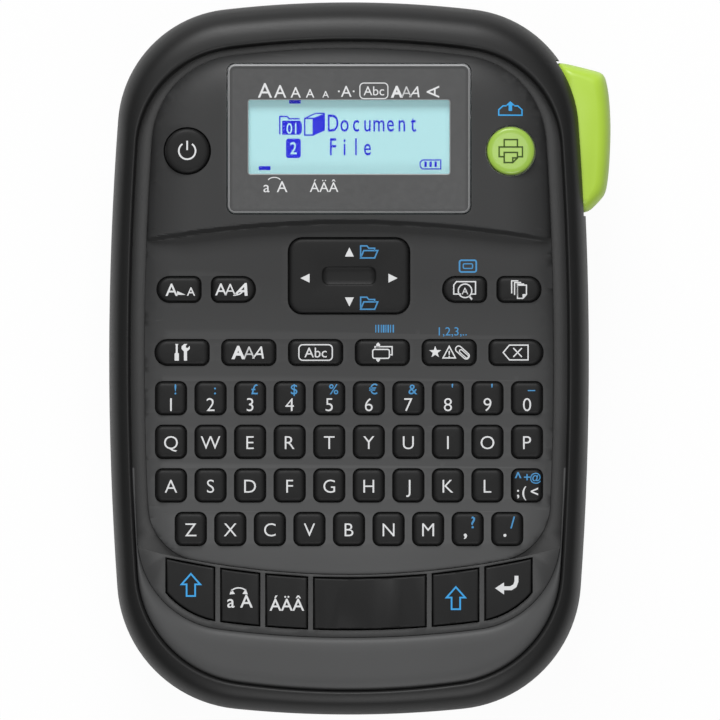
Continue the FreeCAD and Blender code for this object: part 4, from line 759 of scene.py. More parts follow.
# %% Press the face panel
bmesh.ops.triangulate(work, faces=work.faces)
skirt = bmesh.ops.extrude_face_region(work, geom=work.faces[:])
raised = [item for item in skirt["geom"] if isinstance(item, bmesh.types.BMVert)]
raised_set = set(raised)
for vertex in work.verts:
    if vertex not in raised_set:
        vertex.co.z = TROUGH * MM
for vertex in raised:
    point = vertex.co.xy / MM
    vertex.co.z = deck_height(point.x, point.y, edge_distance(point, DECK_LINE)) * MM
data = bpy.data.meshes.new("face")
bmesh.ops.recalc_face_normals(work, faces=work.faces)
work.to_mesh(data)
work.free()
face_piece = bpy.data.objects.new("face", data)
scene.collection.objects.link(face_piece)
for polygon in data.polygons:
    polygon.use_smooth = True
settle(face_piece, DECK_GREY, "case", "face_panel", slot="deck_grey", sharp=45)
print("face triangles", len(data.polygons))

# %% [markdown]
# ## Trough plate and chin
# The dark floor round the deck and the ribs of the lower key band have the right shape already, so
# their meshes are copied, merged and smoothed. The chin is only a crescent in the model. Its real top
# is a soft pillow, so it is pressed in the same way as the deck.

# %% Copies of model nodes
def from_node(name, piece_name):
    """A merged, smooth copy of a model node's mesh."""
    data = frame["nodes"][name].data.copy()
    work = bmesh.new()
    work.from_mesh(data)
    bmesh.ops.remove_doubles(work, verts=work.verts, dist=0.002 * MM)
    work.to_mesh(data)
    work.free()
    made = bpy.data.objects.new(piece_name, data)
    scene.collection.objects.link(made)
    for polygon in data.polygons:
        polygon.use_smooth = True
    return made


def soften(piece, width, segments=2, limit=40):
    """Round every sharp edge of a piece a little."""
    bevel = piece.modifiers.new("soften", "BEVEL")
    bevel.width = width * MM
    bevel.segments = segments
    bevel.limit_method = "ANGLE"
    bevel.angle_limit = math.radians(limit)
    bevel.harden_normals = False
    bake(piece)


print("nodes that can be copied", len(frame["nodes"]))

# %% Trough plate
trough_piece = from_node("trough_bezel", "trough")
soften(trough_piece, 0.22)
settle(trough_piece, TROUGH_BLACK, "case", "trough_bezel", slot="trough_black", sharp=40)
# Painted light and shade: the raised ribs are blended to a lighter grey than the floor between them, standing in
# for light on the rib tops and shade in the trough.
painted_light_blend(TROUGH_BLACK, "Object", (TROUGH + 0.5) * MM, (TROUGH + 1.2) * MM, grey(50))
print("trough faces", len(trough_piece.data.polygons))

# %% [markdown]
# ## Chin
# The chin is the soft crescent under the lower key band. A bevelled plate would have a hard flat middle.
# It is pressed like the deck instead: lines run across it from the rim to its inner edge, and each rises
# and falls as a pillow that fades out at both tips.

# %% The two edges of the chin
CHIN_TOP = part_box("chin_panel")[1].z / MM
CHIN_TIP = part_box("chin_panel")[1].y / MM
rim_edge, chin_edge = rim_line(0.12), chin_line()
lower_rim = [p for p in rim_edge if p.y < CHIN_TIP]
lower_rim.sort(key=lambda p: math.atan2(p.x, -p.y))
lower_chin = [p for p in chin_edge if p.y < CHIN_TIP]
lower_chin.sort(key=lambda p: math.atan2(p.x, -p.y))


def along_path(points, share):
    """The point at a share of a path's length."""
    lengths = [0.0]
    for a, b in zip(points, points[1:]):
        lengths.append(lengths[-1] + (b - a).length)
    target = share * lengths[-1]
    for i in range(len(points) - 1):
        if lengths[i + 1] >= target:
            part = (target - lengths[i]) / max(lengths[i + 1] - lengths[i], 1e-9)
            return points[i] + (points[i + 1] - points[i]) * part
    return points[-1]


print("chin edge points", len(lower_rim), len(lower_chin))

# %% Press the chin
CHIN_ROWS = 14
CHIN_STEPS = 180
CHIN_FADE = 0.16
CHIN_FOOT = TROUGH + 0.1
CHIN_ROLL, CHIN_DROP = 3.2, 1.5
grid = []
for step in range(CHIN_STEPS + 1):
    share = step / CHIN_STEPS
    outer_point, inner_point = along_path(lower_rim, share), along_path(lower_chin, share)
    width = (inner_point - outer_point).length
    line = []
    for row in range(CHIN_ROWS + 1):
        part = 0.5 - 0.5 * math.cos(math.pi * row / CHIN_ROWS)
        point = outer_point + (inner_point - outer_point) * part
        distance = min(part, 1 - part) * width
        height = CHIN_TOP - roll_off(distance, min(CHIN_ROLL, max(width * 0.45, 0.3)), CHIN_DROP)
        height = CHIN_FOOT + (height - CHIN_FOOT) * smooth(min(share, 1 - share) / CHIN_FADE)
        line.append((point.x, point.y, height))
    grid.append(line)
columns = CHIN_ROWS + 3
vertices = []
for line in grid:
    foot, end = (*line[0][:2], TROUGH), (*line[-1][:2], TROUGH)
    vertices += [Vector(p) * MM for p in (foot, *line, end)]
faces = []
for step in range(CHIN_STEPS):
    for row in range(columns):
        a, b = step * columns + row, step * columns + (row + 1) % columns
        faces.append((a, b, b + columns, a + columns))
faces.append(tuple(range(columns)))
faces.append(tuple(CHIN_STEPS * columns + row for row in reversed(range(columns))))
chin_piece = mesh_object("chin", vertices, faces)
settle(chin_piece, CHIN_GREY, "case", "chin_panel", slot="chin_grey", sharp=50)
print("chin faces", len(chin_piece.data.polygons))

# %% [markdown]
# ## Display
# The window is one clear plate with dark paint behind its margin, so its margin is a glossy ring with a
# chamfered rim, whose highlight is painted into its colour, and its middle is a thin clear pane. The liquid
# crystal cell under it is pale and glows a little. Everything round is a loft through rings of equal length.

# %% Lofts through rings
def body_of(name):
    """The body that a node belongs to."""
    return frame["nodes"][name]["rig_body"]


def loft(name, rings):
    """A closed skin through rings, with its first and last ring filled."""
    made = ring_wall(name, rings, closed=False)
    work = bmesh.new()
    work.from_mesh(made.data)
    work.verts.ensure_lookup_table()
    count = len(rings[0])
    work.faces.new([work.verts[i] for i in range(count)])
    work.faces.new([work.verts[len(work.verts) - count + i] for i in range(count)])
    bmesh.ops.recalc_face_normals(work, faces=work.faces)
    work.to_mesh(made.data)
    work.free()
    for polygon in made.data.polygons:
        polygon.use_smooth = True
    return made


print("the window rides on", body_of("display_window"))

# %% Rings of the window
WINDOW_LOW, WINDOW_TOP = (corner.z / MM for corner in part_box("display_window"))
VIEW = (51.7, 19.0)
VIEW_ROW = node_middle("lcd_module").y
middle, span = window_middle, window_span


def window_ring(inset, height):
    """A ring round the window, drawn in by inset."""
    corner = max(2.0 - inset, 0.6)
    return lifted(rounded(span.x - 2 * inset, span.y - 2 * inset, middle.x, middle.y, corner), height)


def view_ring(grow, height):
    """A ring round the clear part of the window."""
    corner = 0.5 + max(grow, 0)
    return lifted(rounded(VIEW[0] + 2 * grow, VIEW[1] + 2 * grow, 0, VIEW_ROW, corner), height)


print("window", round(WINDOW_LOW, 2), round(WINDOW_TOP, 2), "view", VIEW)

# %% Painted margin with a painted highlight on its chamfer
margin_rings = [
    view_ring(0.0, WINDOW_TOP - 1.1), view_ring(0.0, WINDOW_TOP - 0.25), view_ring(0.1, WINDOW_TOP - 0.12),
    view_ring(0.5, WINDOW_TOP - 0.1), view_ring(0.8, WINDOW_TOP - 0.1), window_ring(1.5, WINDOW_TOP - 0.1),
    window_ring(1.2, WINDOW_TOP - 0.1), window_ring(0.8, WINDOW_TOP - 0.02), window_ring(0.6, WINDOW_TOP),
    window_ring(0.45, WINDOW_TOP - 0.06), window_ring(0.1, WINDOW_TOP - 0.5),
    window_ring(0.05, WINDOW_TOP - 0.75), window_ring(0.05, WINDOW_LOW + 0.1), window_ring(0.2, WINDOW_LOW),
    view_ring(0.0, WINDOW_LOW),
]
WINDOW_PAINT = moulded("window_paint", grey(66), 0.35, grain=0.02, grain_scale=900.0, edge_highlight=0.0,
                       specular=0.25)
# Painted highlight: where the surface tilts away from flat, on the chamfer, the colour blends to a light grey
# that stands in for the light the chamfer reflects.
painted_light_blend(WINDOW_PAINT, "Normal", 0.985, 0.9, grey(150))
window_piece = ring_wall("window_margin", margin_rings)
settle(window_piece, WINDOW_PAINT, "case", "display_window", slot="window_clear", sharp=60)
print("margin faces", len(window_piece.data.polygons))

# %% [markdown]
# ## Pane
# A clear sheet covers the display. Glass that refracts makes small marks below it soft and pale at a
# low number of samples. A thin clear pane with a faint dark tint keeps them sharp, and its gloss stays.

# %% Clear pane
glass, tree, shader, output = new_material("window_glass")
shader.inputs["Base Color"].default_value = (0.03, 0.035, 0.04, 1)
shader.inputs["Alpha"].default_value = 0.05
ripple = tree.nodes.new("ShaderNodeTexNoise")
ripple.inputs["Scale"].default_value = 60.0
tree.links.new(tree.nodes.new("ShaderNodeTexCoord").outputs["Object"], ripple.inputs["Vector"])
haze = tree.nodes.new("ShaderNodeMapRange")
haze.inputs["To Min"].default_value = 0.02
haze.inputs["To Max"].default_value = 0.06
tree.links.new(ripple.outputs["Fac"], haze.inputs["Value"])
tree.links.new(haze.outputs["Result"], shader.inputs["Roughness"])
pane = loft("window_pane", [view_ring(-0.02, WINDOW_TOP - 0.9), view_ring(-0.02, WINDOW_TOP - 0.3)])
settle(pane, glass, "case", slot="window_clear", sharp=40)
print("pane faces", len(pane.data.polygons))

# %% [markdown]
# ## Liquid crystal cell
# The cell is a pale blue plate with a very fine grid of dots. A drawn image of the grid would need a file.
# A checker texture makes it by itself, and a little emission in its own colour makes the cell glow. A
# checker texture makes it by itself, and a little emission stands in for the light from behind.

# %% Liquid crystal cell
cell, tree, shader, output = new_material("lcd_cell")
place = tree.nodes.new("ShaderNodeTexCoord").outputs["Object"]
dots = tree.nodes.new("ShaderNodeTexChecker")
dots.inputs["Scale"].default_value = 3500.0
dots.inputs["Color1"].default_value = (*shown(160, 206, 210), 1)
dots.inputs["Color2"].default_value = (*shown(166, 212, 216), 1)
tree.links.new(place, dots.inputs["Vector"])
tree.links.new(dots.outputs["Color"], shader.inputs["Base Color"])
tree.links.new(dots.outputs["Color"], shader.inputs["Emission Color"])
shader.inputs["Emission Strength"].default_value = 0.25
shader.inputs["Roughness"].default_value = 0.5
module_node = frame["nodes"]["lcd_module"]
module_node.data.materials.clear()
module_node.data.materials.append(cell)

# %% [markdown]
# ## Keys
# A key is a loft from the foot of its plunger, out to its flange, up its side and over a rounded edge to
# a softly domed top. The four letter rows repeat one such key, so Geometry Nodes sets the copies out along
# a line, turns each by a hair as real keys sit, joins them and gives them their material.

# %% One key as a loft
CAP_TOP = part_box("setup_key")[1].z / MM
KEY_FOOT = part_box("setup_key")[0].z / MM
KEY_GAP = 0.4
FLANGE = 0.9
EDGE = [(0.0, 0.95), (0.06, 0.6), (0.26, 0.26), (0.6, 0.08), (1.1, 0.03), (1.9, 0.01), (2.9, 0.0)]


def key_rings(width, length, left, right, x=0.0, y=0.0, dome=0.12, drop=0.15):
    """Rings of a key from its foot to the middle of its top, its flange a drop under the deck."""
    rings = [lifted(rounded(3.0, 3.0, x, y, 0.3), level) for level in (KEY_FOOT, TROUGH - drop - FLANGE)]
    flange = rounded(width + 0.8, length + 0.8, x, y, left + 0.2, right + 0.2)
    rings += [lifted(flange, TROUGH - drop - FLANGE), lifted(flange, TROUGH - drop)]
    w, h, a, b = width - 2 * KEY_GAP, length - 2 * KEY_GAP, left - KEY_GAP, right - KEY_GAP
    rings.append(lifted(rounded(w, h, x, y, a, b), TROUGH - drop))
    for inset, down in EDGE:
        shrink = min(inset, min(w, h) / 2 - 0.2)
        ring = rounded(w - 2 * shrink, h - 2 * shrink, x, y, max(a - shrink, 0.15), max(b - shrink, 0.15))
        rings.append(lifted(ring, CAP_TOP - dome * (1 - shrink / (min(w, h) / 2)) - down))
    return rings


print("key top", round(CAP_TOP, 2), "foot", round(KEY_FOOT, 2))

# %% [markdown]
# ## Letter keys
# The letter keys stand in four even rows. Copying objects by hand would leave thirty-nine to keep in step.
# Geometry Nodes set out one pattern along a line, so that a row is one piece on one body.

# %% Rows of letter keys
def row_tree(name):
    """Geometry nodes that set out copies of a key along a line."""
    group = bpy.data.node_groups.new(name, "GeometryNodeTree")
    face = group.interface
    for label, kind, way in (
        ("Geometry", "NodeSocketGeometry", "INPUT"), ("Key", "NodeSocketObject", "INPUT"),
        ("Count", "NodeSocketInt", "INPUT"), ("First", "NodeSocketVector", "INPUT"),
        ("Pitch", "NodeSocketVector", "INPUT"), ("Twist", "NodeSocketFloat", "INPUT"),
        ("Seed", "NodeSocketInt", "INPUT"), ("Finish", "NodeSocketMaterial", "INPUT"),
        ("Geometry", "NodeSocketGeometry", "OUTPUT"),
    ):
        face.new_socket(name=label, in_out=way, socket_type=kind)
    start, end = group.nodes.new("NodeGroupInput"), group.nodes.new("NodeGroupOutput")
    line = group.nodes.new("GeometryNodeMeshLine")
    info = group.nodes.new("GeometryNodeObjectInfo")
    turn = group.nodes.new("FunctionNodeRandomValue")
    turn.data_type = "FLOAT_VECTOR"
    low = group.nodes.new("ShaderNodeCombineXYZ")
    high = group.nodes.new("ShaderNodeCombineXYZ")
    flip = group.nodes.new("ShaderNodeMath")
    flip.operation = "MULTIPLY"
    flip.inputs[1].default_value = -1.0
    copies = group.nodes.new("GeometryNodeInstanceOnPoints")
    solid = group.nodes.new("GeometryNodeRealizeInstances")
    finish = group.nodes.new("GeometryNodeSetMaterial")
    join = group.links.new
    join(start.outputs["Count"], line.inputs["Count"])
    join(start.outputs["First"], line.inputs["Start Location"])
    join(start.outputs["Pitch"], line.inputs["Offset"])
    join(start.outputs["Key"], info.inputs["Object"])
    join(start.outputs["Twist"], high.inputs["Z"])
    join(start.outputs["Twist"], flip.inputs[0])
    join(flip.outputs[0], low.inputs["Z"])
    join(low.outputs[0], turn.inputs["Min"])
    join(high.outputs[0], turn.inputs["Max"])
    join(start.outputs["Seed"], turn.inputs["Seed"])
    join(line.outputs["Mesh"], copies.inputs["Points"])
    join(info.outputs["Geometry"], copies.inputs["Instance"])
    join(turn.outputs["Value"], copies.inputs["Rotation"])
    join(copies.outputs["Instances"], solid.inputs["Geometry"])
    join(solid.outputs["Geometry"], finish.inputs["Geometry"])
    join(start.outputs["Finish"], finish.inputs["Material"])
    join(finish.outputs["Geometry"], end.inputs["Geometry"])
    return group


key_row = row_tree("key_row")
print("row nodes", len(key_row.nodes))

# %% Four rows of letter keys
TWIST = math.radians(0.3)
width, length, left, right = LETTER_HOLE
pattern_key = loft("pattern_key", key_rings(width, length, left, right))
for seed, name in enumerate(LETTER_ROWS):
    places = row_places(name)
    row = mesh_object(name + "_row", [(0, 0, 0)], [])
    modifier = row.modifiers.new("row", "NODES")
    modifier.node_group = key_row
    values = {
        "Key": pattern_key, "Count": len(places), "First": (places[0][0] * MM, places[0][1] * MM, 0.0),
        "Pitch": (PITCH * MM, 0.0, 0.0), "Twist": TWIST, "Seed": seed, "Finish": KEY_RUBBER,
    }
    for item in key_row.interface.items_tree:
        if item.in_out == "INPUT" and item.name in values:
            modifier[item.identifier] = values[item.name]
    row.update_tag()
    bake(row)
    settle(row, KEY_RUBBER, body_of(name), name, slot="key_rubber", sharp=40)
    print(name, len(row.data.polygons))
bpy.data.objects.remove(pattern_key)

# %% [markdown]
# ## Single keys
# The wider keys move one by one, and some have one round end. Each is therefore its own loft, from the
# same rings as the letter keys, with the size that its opening has.

# %% Function and upper keys
for name, (width, length, left, right) in SINGLE_KEYS.items():
    if name == "nav_pad":
        continue
    middle = node_middle(name)
    cap = loft(name + "_cap", key_rings(width, length, left, right, middle.x, middle.y))
    settle(cap, KEY_RUBBER, body_of(name), name, slot="key_rubber", sharp=40)
print("single caps", len(SINGLE_KEYS) - 1)

# %% [markdown]
# ## Navigation pad
# The pad is one large cap that rocks both ways, with a long dish in its middle. The dish could be cut with
# a boolean. Continuing the loft downwards keeps clean rings round it, and its flange sits lower than those
# of the keys, to leave room for rocking.

# %% Navigation pad
DISH = (13.3, 4.4)
DISH_EDGE = ((0.5, 0.0, 1.9), (0.25, 0.05, 1.7), (0.1, 0.22, 1.6), (0.0, 0.6, 1.5), (-0.4, 0.85, 1.2),
             (-1.2, 0.95, 0.8))
PAD_DROP = 1.55
width, length, left, right = SINGLE_KEYS["nav_pad"]
middle = node_middle("nav_pad")
pad_rings = key_rings(width, length, left, right, middle.x, middle.y, dome=0.1, drop=PAD_DROP)[2:-1]
dish_top = CAP_TOP - 0.12
for grow, down, radius in DISH_EDGE:
    ring = rounded(DISH[0] + 2 * grow, DISH[1] + 2 * grow, middle.x, middle.y, radius)
    pad_rings.append(lifted(ring, dish_top - down))
pad_piece = loft("nav_pad_cap", pad_rings)
settle(pad_piece, KEY_RUBBER, body_of("nav_pad"), "nav_pad", slot="key_rubber", sharp=40)
print("pad rings", len(pad_rings))

# %% [markdown]
# ## Round buttons
# The power and print buttons are turned shapes with a flange under the hood. A lathe modifier would do.
# The loft is there already, so a list of reaches and heights describes the turned line.

# %% Round buttons
BUTTON_LIP = 0.85
BUTTON_EDGE = [(0.0, 1.1), (0.08, 0.7), (0.35, 0.32), (0.8, 0.14), (1.6, 0.09), (3.0, 0.03), (3.9, 0.0)]
FLANGE_TOP = HOOD - 6.0
ROUND_BUTTONS = (("power_button", KEY_RUBBER, "key_rubber"), ("print_button", PRINT_GREEN, "print_green"))
for name, material, slot in ROUND_BUTTONS:
    low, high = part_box(name)
    middle, flange = node_middle(name), node_span(name).x / 2
    radius = flange - BUTTON_LIP
    turns = [(radius - 0.8, low.z / MM), (radius - 0.8, FLANGE_TOP - FLANGE), (flange, FLANGE_TOP - FLANGE),
             (flange, FLANGE_TOP), (radius, FLANGE_TOP)]
    turns += [(radius - inset, high.z / MM - down) for inset, down in BUTTON_EDGE]
    rings = [lifted(circle(reach, middle.x, middle.y), height) for reach, height in turns]
    cap = loft(name + "_cap", rings)
    settle(cap, material, body_of(name), name, slot=slot, sharp=40)
print("round buttons", len(ROUND_BUTTONS))

# %% [markdown]
# ## Lower band
# The keys of the lower band follow the arc of the deck. A loft would have to be bent to it. The model holds
# the bent shapes already, so their meshes are copied and smoothed.

# %% The six keys of the lower band
BAND_KEYS = ("shift_left_key", "caps_key", "accent_key", "space_key", "shift_right_key", "return_key")
for name in BAND_KEYS:
    cap = from_node(name, name + "_cap")
    settle(cap, KEY_RUBBER, body_of(name), name, slot="key_rubber", sharp=35)
print("band keys", len(BAND_KEYS))

# %% [markdown]
# ## Rear case and doors
# These keep the model's shapes, which are right already, with their edges rounded for the light. The
# parts inside only need a finish: it goes into the material slots of their own nodes.

# %% [markdown]
# ## Cover and pins within the outline
# The sides of the case draw in towards the foot, while the cover and the hinge pins of the model reach a
# little beyond them. The model is left as it is. The pieces shown are cut into strips and drawn in, so that
# nothing stands out from the case.

# %% Keep within the case's outline
FOOT_INSET = 6.6
CUTS_ALONG, CUTS_ACROSS = range(54, 76), range(42, 53)
foot_line = [point for point in case_line(FOOT_INSET) if point.x > 0]


def drawn_in(piece):
    """Draw in what stands beyond the foot of the case's sides, cut finely enough to follow the corner."""
    work = bmesh.new()
    work.from_mesh(piece.data)
    cuts = [(Vector((0, y, 0)), Vector((0, 1, 0))) for y in CUTS_ALONG]
    cuts += [(Vector((side * x, 0, 0)), Vector((1, 0, 0))) for x in CUTS_ACROSS for side in (-1, 1)]
    for place, way in cuts:
        cut_through(work, place * MM, way)
    for vertex in work.verts:
        reach = min(foot_line, key=lambda point: abs(point.y - vertex.co.y / MM)).x * MM
        vertex.co.x = max(-reach, min(reach, vertex.co.x))
    bmesh.ops.remove_doubles(work, verts=work.verts, dist=1e-6)
    bmesh.ops.dissolve_degenerate(work, edges=work.edges, dist=1e-6)
    work.to_mesh(piece.data)
    work.free()


print("outline held", FOOT_INSET, "mm inside the case")

# %% Case parts with softened edges
SOFT_EDGES = {"rear_case": 0.4, "battery_cover": 0.3, "cassette_cover": 0.3}
for name, width in SOFT_EDGES.items():
    skin = from_node(name, name + "_skin")
    soften(skin, width, limit=50)
    if name == "cassette_cover":
        drawn_in(skin)
    settle(skin, CASE_BLACK, body_of(name), name, slot="case_black", sharp=45)
print("softened parts", len(SOFT_EDGES))

# %% [markdown]
# ## Lever
# The lever is a bright green grip with a swept outline and a rounded top. Bevelling the plate of the model
# would leave an even edge all round. A loft through shrinking plan lines gives the wide, soft top.

# %% Lever
lever_low, lever_high = lever_box
LEVER_PLAN = [
    (lever_low.x, lever_high.y - 38.4), (HALF - 0.8, lever_high.y - 39.0), (HALF + 2.6, lever_high.y - 35.8),
    (HALF + 4.4, lever_high.y - 33.4), (HALF + 5.2, lever_high.y - 27.0), (HALF + 5.6, lever_high.y - 17.0),
    (HALF + 5.2, lever_high.y - 9.0), (HALF + 4.4, lever_high.y - 4.4), (HALF + 3.5, lever_high.y - 2.7),
    (HALF + 1.5, lever_high.y - 2.0), (lever_low.x + 2.6, lever_high.y), (lever_low.x, lever_high.y),
]


def resampled(points, count):
    """A closed plan line with its corners eased, at even spacing."""
    line = [Vector(p) for p in points]
    for _ in range(2):
        eased = []
        for i, here in enumerate(line):
            after = line[(i + 1) % len(line)]
            eased += [here.lerp(after, 0.22), here.lerp(after, 0.78)]
        line = eased
    line.append(line[0])
    return [along_path(line, i / count) for i in range(count)]


LEVER_POINTS = 96
plan = resampled(LEVER_PLAN, LEVER_POINTS)
core = Vector((HALF - 1.0, (lever_low.y + lever_high.y) / 2))
wide, long = HALF + 5.6 - core.x, (lever_high.y - lever_low.y) / 2


def lever_ring(inset, height):
    """The lever's plan line drawn in by inset, at a height."""
    scale = (1 - inset / wide, 1 - inset / long)
    return [(core.x + (p.x - core.x) * scale[0], core.y + (p.y - core.y) * scale[1], height) for p in plan]


LEVER_FOOT = ((2.4, 0.0), (0.7, 0.4), (0.1, 1.6))
LEVER_EDGE = ((0.0, 7.0), (0.15, 4.6), (0.5, 2.9), (1.0, 1.7), (1.7, 0.8), (2.6, 0.25), (3.6, 0.0))
lever_rings = [lever_ring(inset, lever_low.z + up) for inset, up in LEVER_FOOT]
lever_rings += [lever_ring(inset, lever_high.z - down) for inset, down in LEVER_EDGE]
lever_piece = loft("lever", lever_rings)
settle(lever_piece, LEVER_GREEN, body_of("cutter_lever"), "cutter_lever", slot="print_green", sharp=60)
print("lever rings", len(lever_rings))


# %% [markdown]
# ## Inside
# Shafts, screws and the chassis are rolled or turned metal, and the print head is ceramic. Image textures
# would need files. Stretched noise gives fine grooves, and the same recipe without metal makes ceramic,
# board and cell jackets.

# %% Metals, ceramics and the rest of the inside
def worked(name, colour, roughness, metallic, streak, clear=0.0):
    """A metal or hard finish with streaks along X and a mottled tone."""
    material, tree, shader, output = new_material(name)
    place = tree.nodes.new("ShaderNodeTexCoord").outputs["Object"]
    stretch = tree.nodes.new("ShaderNodeMapping")
    stretch.inputs["Scale"].default_value = (1.0, streak, streak)
    tree.links.new(place, stretch.inputs["Vector"])
    noise = tree.nodes.new("ShaderNodeTexNoise")
    noise.inputs["Scale"].default_value = 240.0
    noise.inputs["Detail"].default_value = 4.0
    tree.links.new(stretch.outputs["Vector"], noise.inputs["Vector"])
    tone = tree.nodes.new("ShaderNodeMix")
    tone.data_type = "RGBA"
    tone.inputs["A"].default_value = (*[c * 0.85 for c in colour], 1)
    tone.inputs["B"].default_value = (*[min(c * 1.1, 1.0) for c in colour], 1)
    tree.links.new(noise.outputs["Fac"], tone.inputs["Factor"])
    tree.links.new(tone.outputs["Result"], shader.inputs["Base Color"])
    rough = tree.nodes.new("ShaderNodeMapRange")
    rough.inputs["To Min"].default_value = roughness * 0.75
    rough.inputs["To Max"].default_value = roughness * 1.25
    tree.links.new(noise.outputs["Fac"], rough.inputs["Value"])
    tree.links.new(rough.outputs["Result"], shader.inputs["Roughness"])
    bump = tree.nodes.new("ShaderNodeBump")
    bump.inputs["Strength"].default_value = 0.15
    bump.inputs["Distance"].default_value = 0.02 * MM
    tree.links.new(noise.outputs["Fac"], bump.inputs["Height"])
    tree.links.new(bump.outputs["Normal"], shader.inputs["Normal"])
    shader.inputs["Metallic"].default_value = metallic
    shader.inputs["Coat Weight"].default_value = clear
    return material


print("materials before the metals", len(bpy.data.materials))

# %% Finishes of the inside
STEEL = worked("steel", grey(190), 0.3, 1.0, 12.0)
MOTOR_CAN = worked("motor_can", grey(170), 0.38, 1.0, 4.0)
BOARD_GREEN = worked("board_green", shown(28, 92, 58), 0.4, 0.0, 1.0, clear=0.4)
CERAMIC = worked("head_ceramic", shown(222, 214, 200), 0.35, 0.0, 1.0)
RIBBON_BLACK = moulded("ribbon_black", grey(28), 0.35, grain=0.1)
CELL_JACKET = worked("cell_jacket", shown(96, 100, 108), 0.35, 0.3, 1.0, clear=0.5)
print("steel", [round(c, 3) for c in grey(190)])

# %% Hinge pins
pins = from_node("hinge_pins", "hinge_pin_set")
drawn_in(pins)
settle(pins, STEEL, "case", "hinge_pins", slot="steel", sharp=35)
print("pin faces", len(pins.data.polygons))

# %% Finishes in the slots of the inner nodes
INSIDE = {
    "keypad_mat": ("mat_rubber", moulded("mat_rubber", grey(150), 0.6, grain=0.3)),
    "main_board": ("board_green", BOARD_GREEN),
    "board_screws": ("steel", STEEL), "case_screws": ("steel", STEEL),
    "battery_contacts": ("steel", STEEL), "lever_pin": ("steel", STEEL), "lever_spring": ("steel", STEEL),
    "cutter_blade": ("steel", STEEL), "fixed_blade": ("steel", STEEL), "print_chassis": ("steel", STEEL),
    "platen_shaft": ("gear_white", INNER_WHITE), "motor_pinion": ("gear_white", INNER_WHITE),
    "idler_gear": ("gear_white", INNER_WHITE), "takeup_gear": ("gear_white", INNER_WHITE),
    "battery_cells": ("cell_jacket", CELL_JACKET), "dc_jack": ("case_black", CASE_BLACK),
    "cassette_case": ("cassette_grey", INNER_GREY), "cassette_lid": ("cassette_grey", INNER_GREY),
    "drive_motor": ("motor_can", MOTOR_CAN), "print_head": ("head_ceramic", CERAMIC),
    "platen_roller": ("platen_rubber", moulded("platen_rubber", grey(40), 0.7, grain=0.4)),
    "tape_roll": ("tape_white", moulded("tape_white", grey(232), 0.5, grain=0.1)),
    "ribbon_supply_spool": ("ribbon_black", RIBBON_BLACK),
    "ribbon_takeup_spool": ("ribbon_black", RIBBON_BLACK),
    "nav_pivot": ("key_rubber", KEY_RUBBER),
}
for name, (slot, material) in INSIDE.items():
    node = frame["nodes"][name]
    node.data.materials.clear()
    node.data.materials.append(material)
print("inside parts", len(INSIDE))

# %% [markdown]
# ## Legends
# Signs are flat marks: letters turned to mesh, strokes along lines and filled shapes. They are gathered by
# the piece that they lie on and by ink. Each vertex is then dropped onto the surface below it, so a mark
# follows a domed key, and a mark moves with the body of its key.

# %% Drawing tools
marks = {}


def add(key, points, faces):
    """Add a flat patch, in millimetres, to the marks of one surface and ink."""
    vertices, all_faces = marks.setdefault(key, ([], []))
    start = len(vertices)
    vertices += [(p[0], p[1]) for p in points]
    all_faces += [tuple(start + i for i in face) for face in faces]


def turned(point, degrees):
    """A plan point turned about the origin."""
    c, s = math.cos(math.radians(degrees)), math.sin(math.radians(degrees))
    return point[0] * c - point[1] * s, point[0] * s + point[1] * c


print("nothing drawn yet", len(marks))


# %% Text as flat triangles
def letters(text, weight):
    """A text's flat triangles at size 1, with letters made bolder by weight."""
    data = bpy.data.curves.new("text", "FONT")
    data.body = text
    data.offset = weight
    data.resolution_u = 4
    holder = bpy.data.objects.new("text", data)
    scene.collection.objects.link(holder)
    bpy.context.view_layer.update()
    flat = bpy.data.meshes.new_from_object(holder.evaluated_get(bpy.context.evaluated_depsgraph_get()))
    bpy.data.objects.remove(holder)
    points = [(v.co.x, v.co.y) for v in flat.vertices]
    return points, [tuple(p.vertices) for p in flat.polygons]


CAP_HEIGHT = max(p[1] for p in letters("H", 0.0)[0])


def write(key, text, x, y, height, weight=0.0, slant=0.0, turn=0.0, squeeze=1.0):
    """Write a text whose capitals are height tall, centred on x, y."""
    points, faces = letters(text, weight)
    k = height / CAP_HEIGHT
    left, right = min(p[0] for p in points), max(p[0] for p in points)
    placed = []
    for px, py in points:
        u = (px - (left + right) / 2) * k * squeeze + (py - CAP_HEIGHT / 2) * k * slant
        u, v = turned((u, (py - CAP_HEIGHT / 2) * k), turn)
        placed.append((x + u, y + v))
    add(key, placed, faces)


print("capital height", round(CAP_HEIGHT, 3))


# %% Strokes, filled shapes and arcs
def stroke(key, points, x, y, width, closed=False):
    """Draw a line of even width through points, offset by x, y, with mitred corners."""
    line = [Vector(p) for p in points]
    count = len(line)
    sides = []
    for i, here in enumerate(line):
        before = line[i - 1] if i or closed else here
        after = line[(i + 1) % count] if i < count - 1 or closed else here
        one = (here - before).normalized() if (here - before).length else (after - here).normalized()
        two = (after - here).normalized() if (after - here).length else one
        along = (one + two).normalized() if (one + two).length > 1e-6 else one
        normal = Vector((-along.y, along.x))
        reach = width / 2 / max(normal.dot(Vector((-one.y, one.x))), 0.35)
        sides += [here + normal * reach, here - normal * reach]
    faces = []
    for i in range(count if closed else count - 1):
        a, b = 2 * i, 2 * ((i + 1) % count)
        faces.append((a, a + 1, b + 1, b))
    add(key, [(p.x + x, p.y + y) for p in sides], faces)


def area(key, points, x, y):
    """Fill a polygon, offset by x, y."""
    flat = filled("area", [[Vector(p) for p in points]])
    placed = [(v.co.x / MM + x, v.co.y / MM + y) for v in flat.vertices]
    add(key, placed, [tuple(p.vertices) for p in flat.polygons])


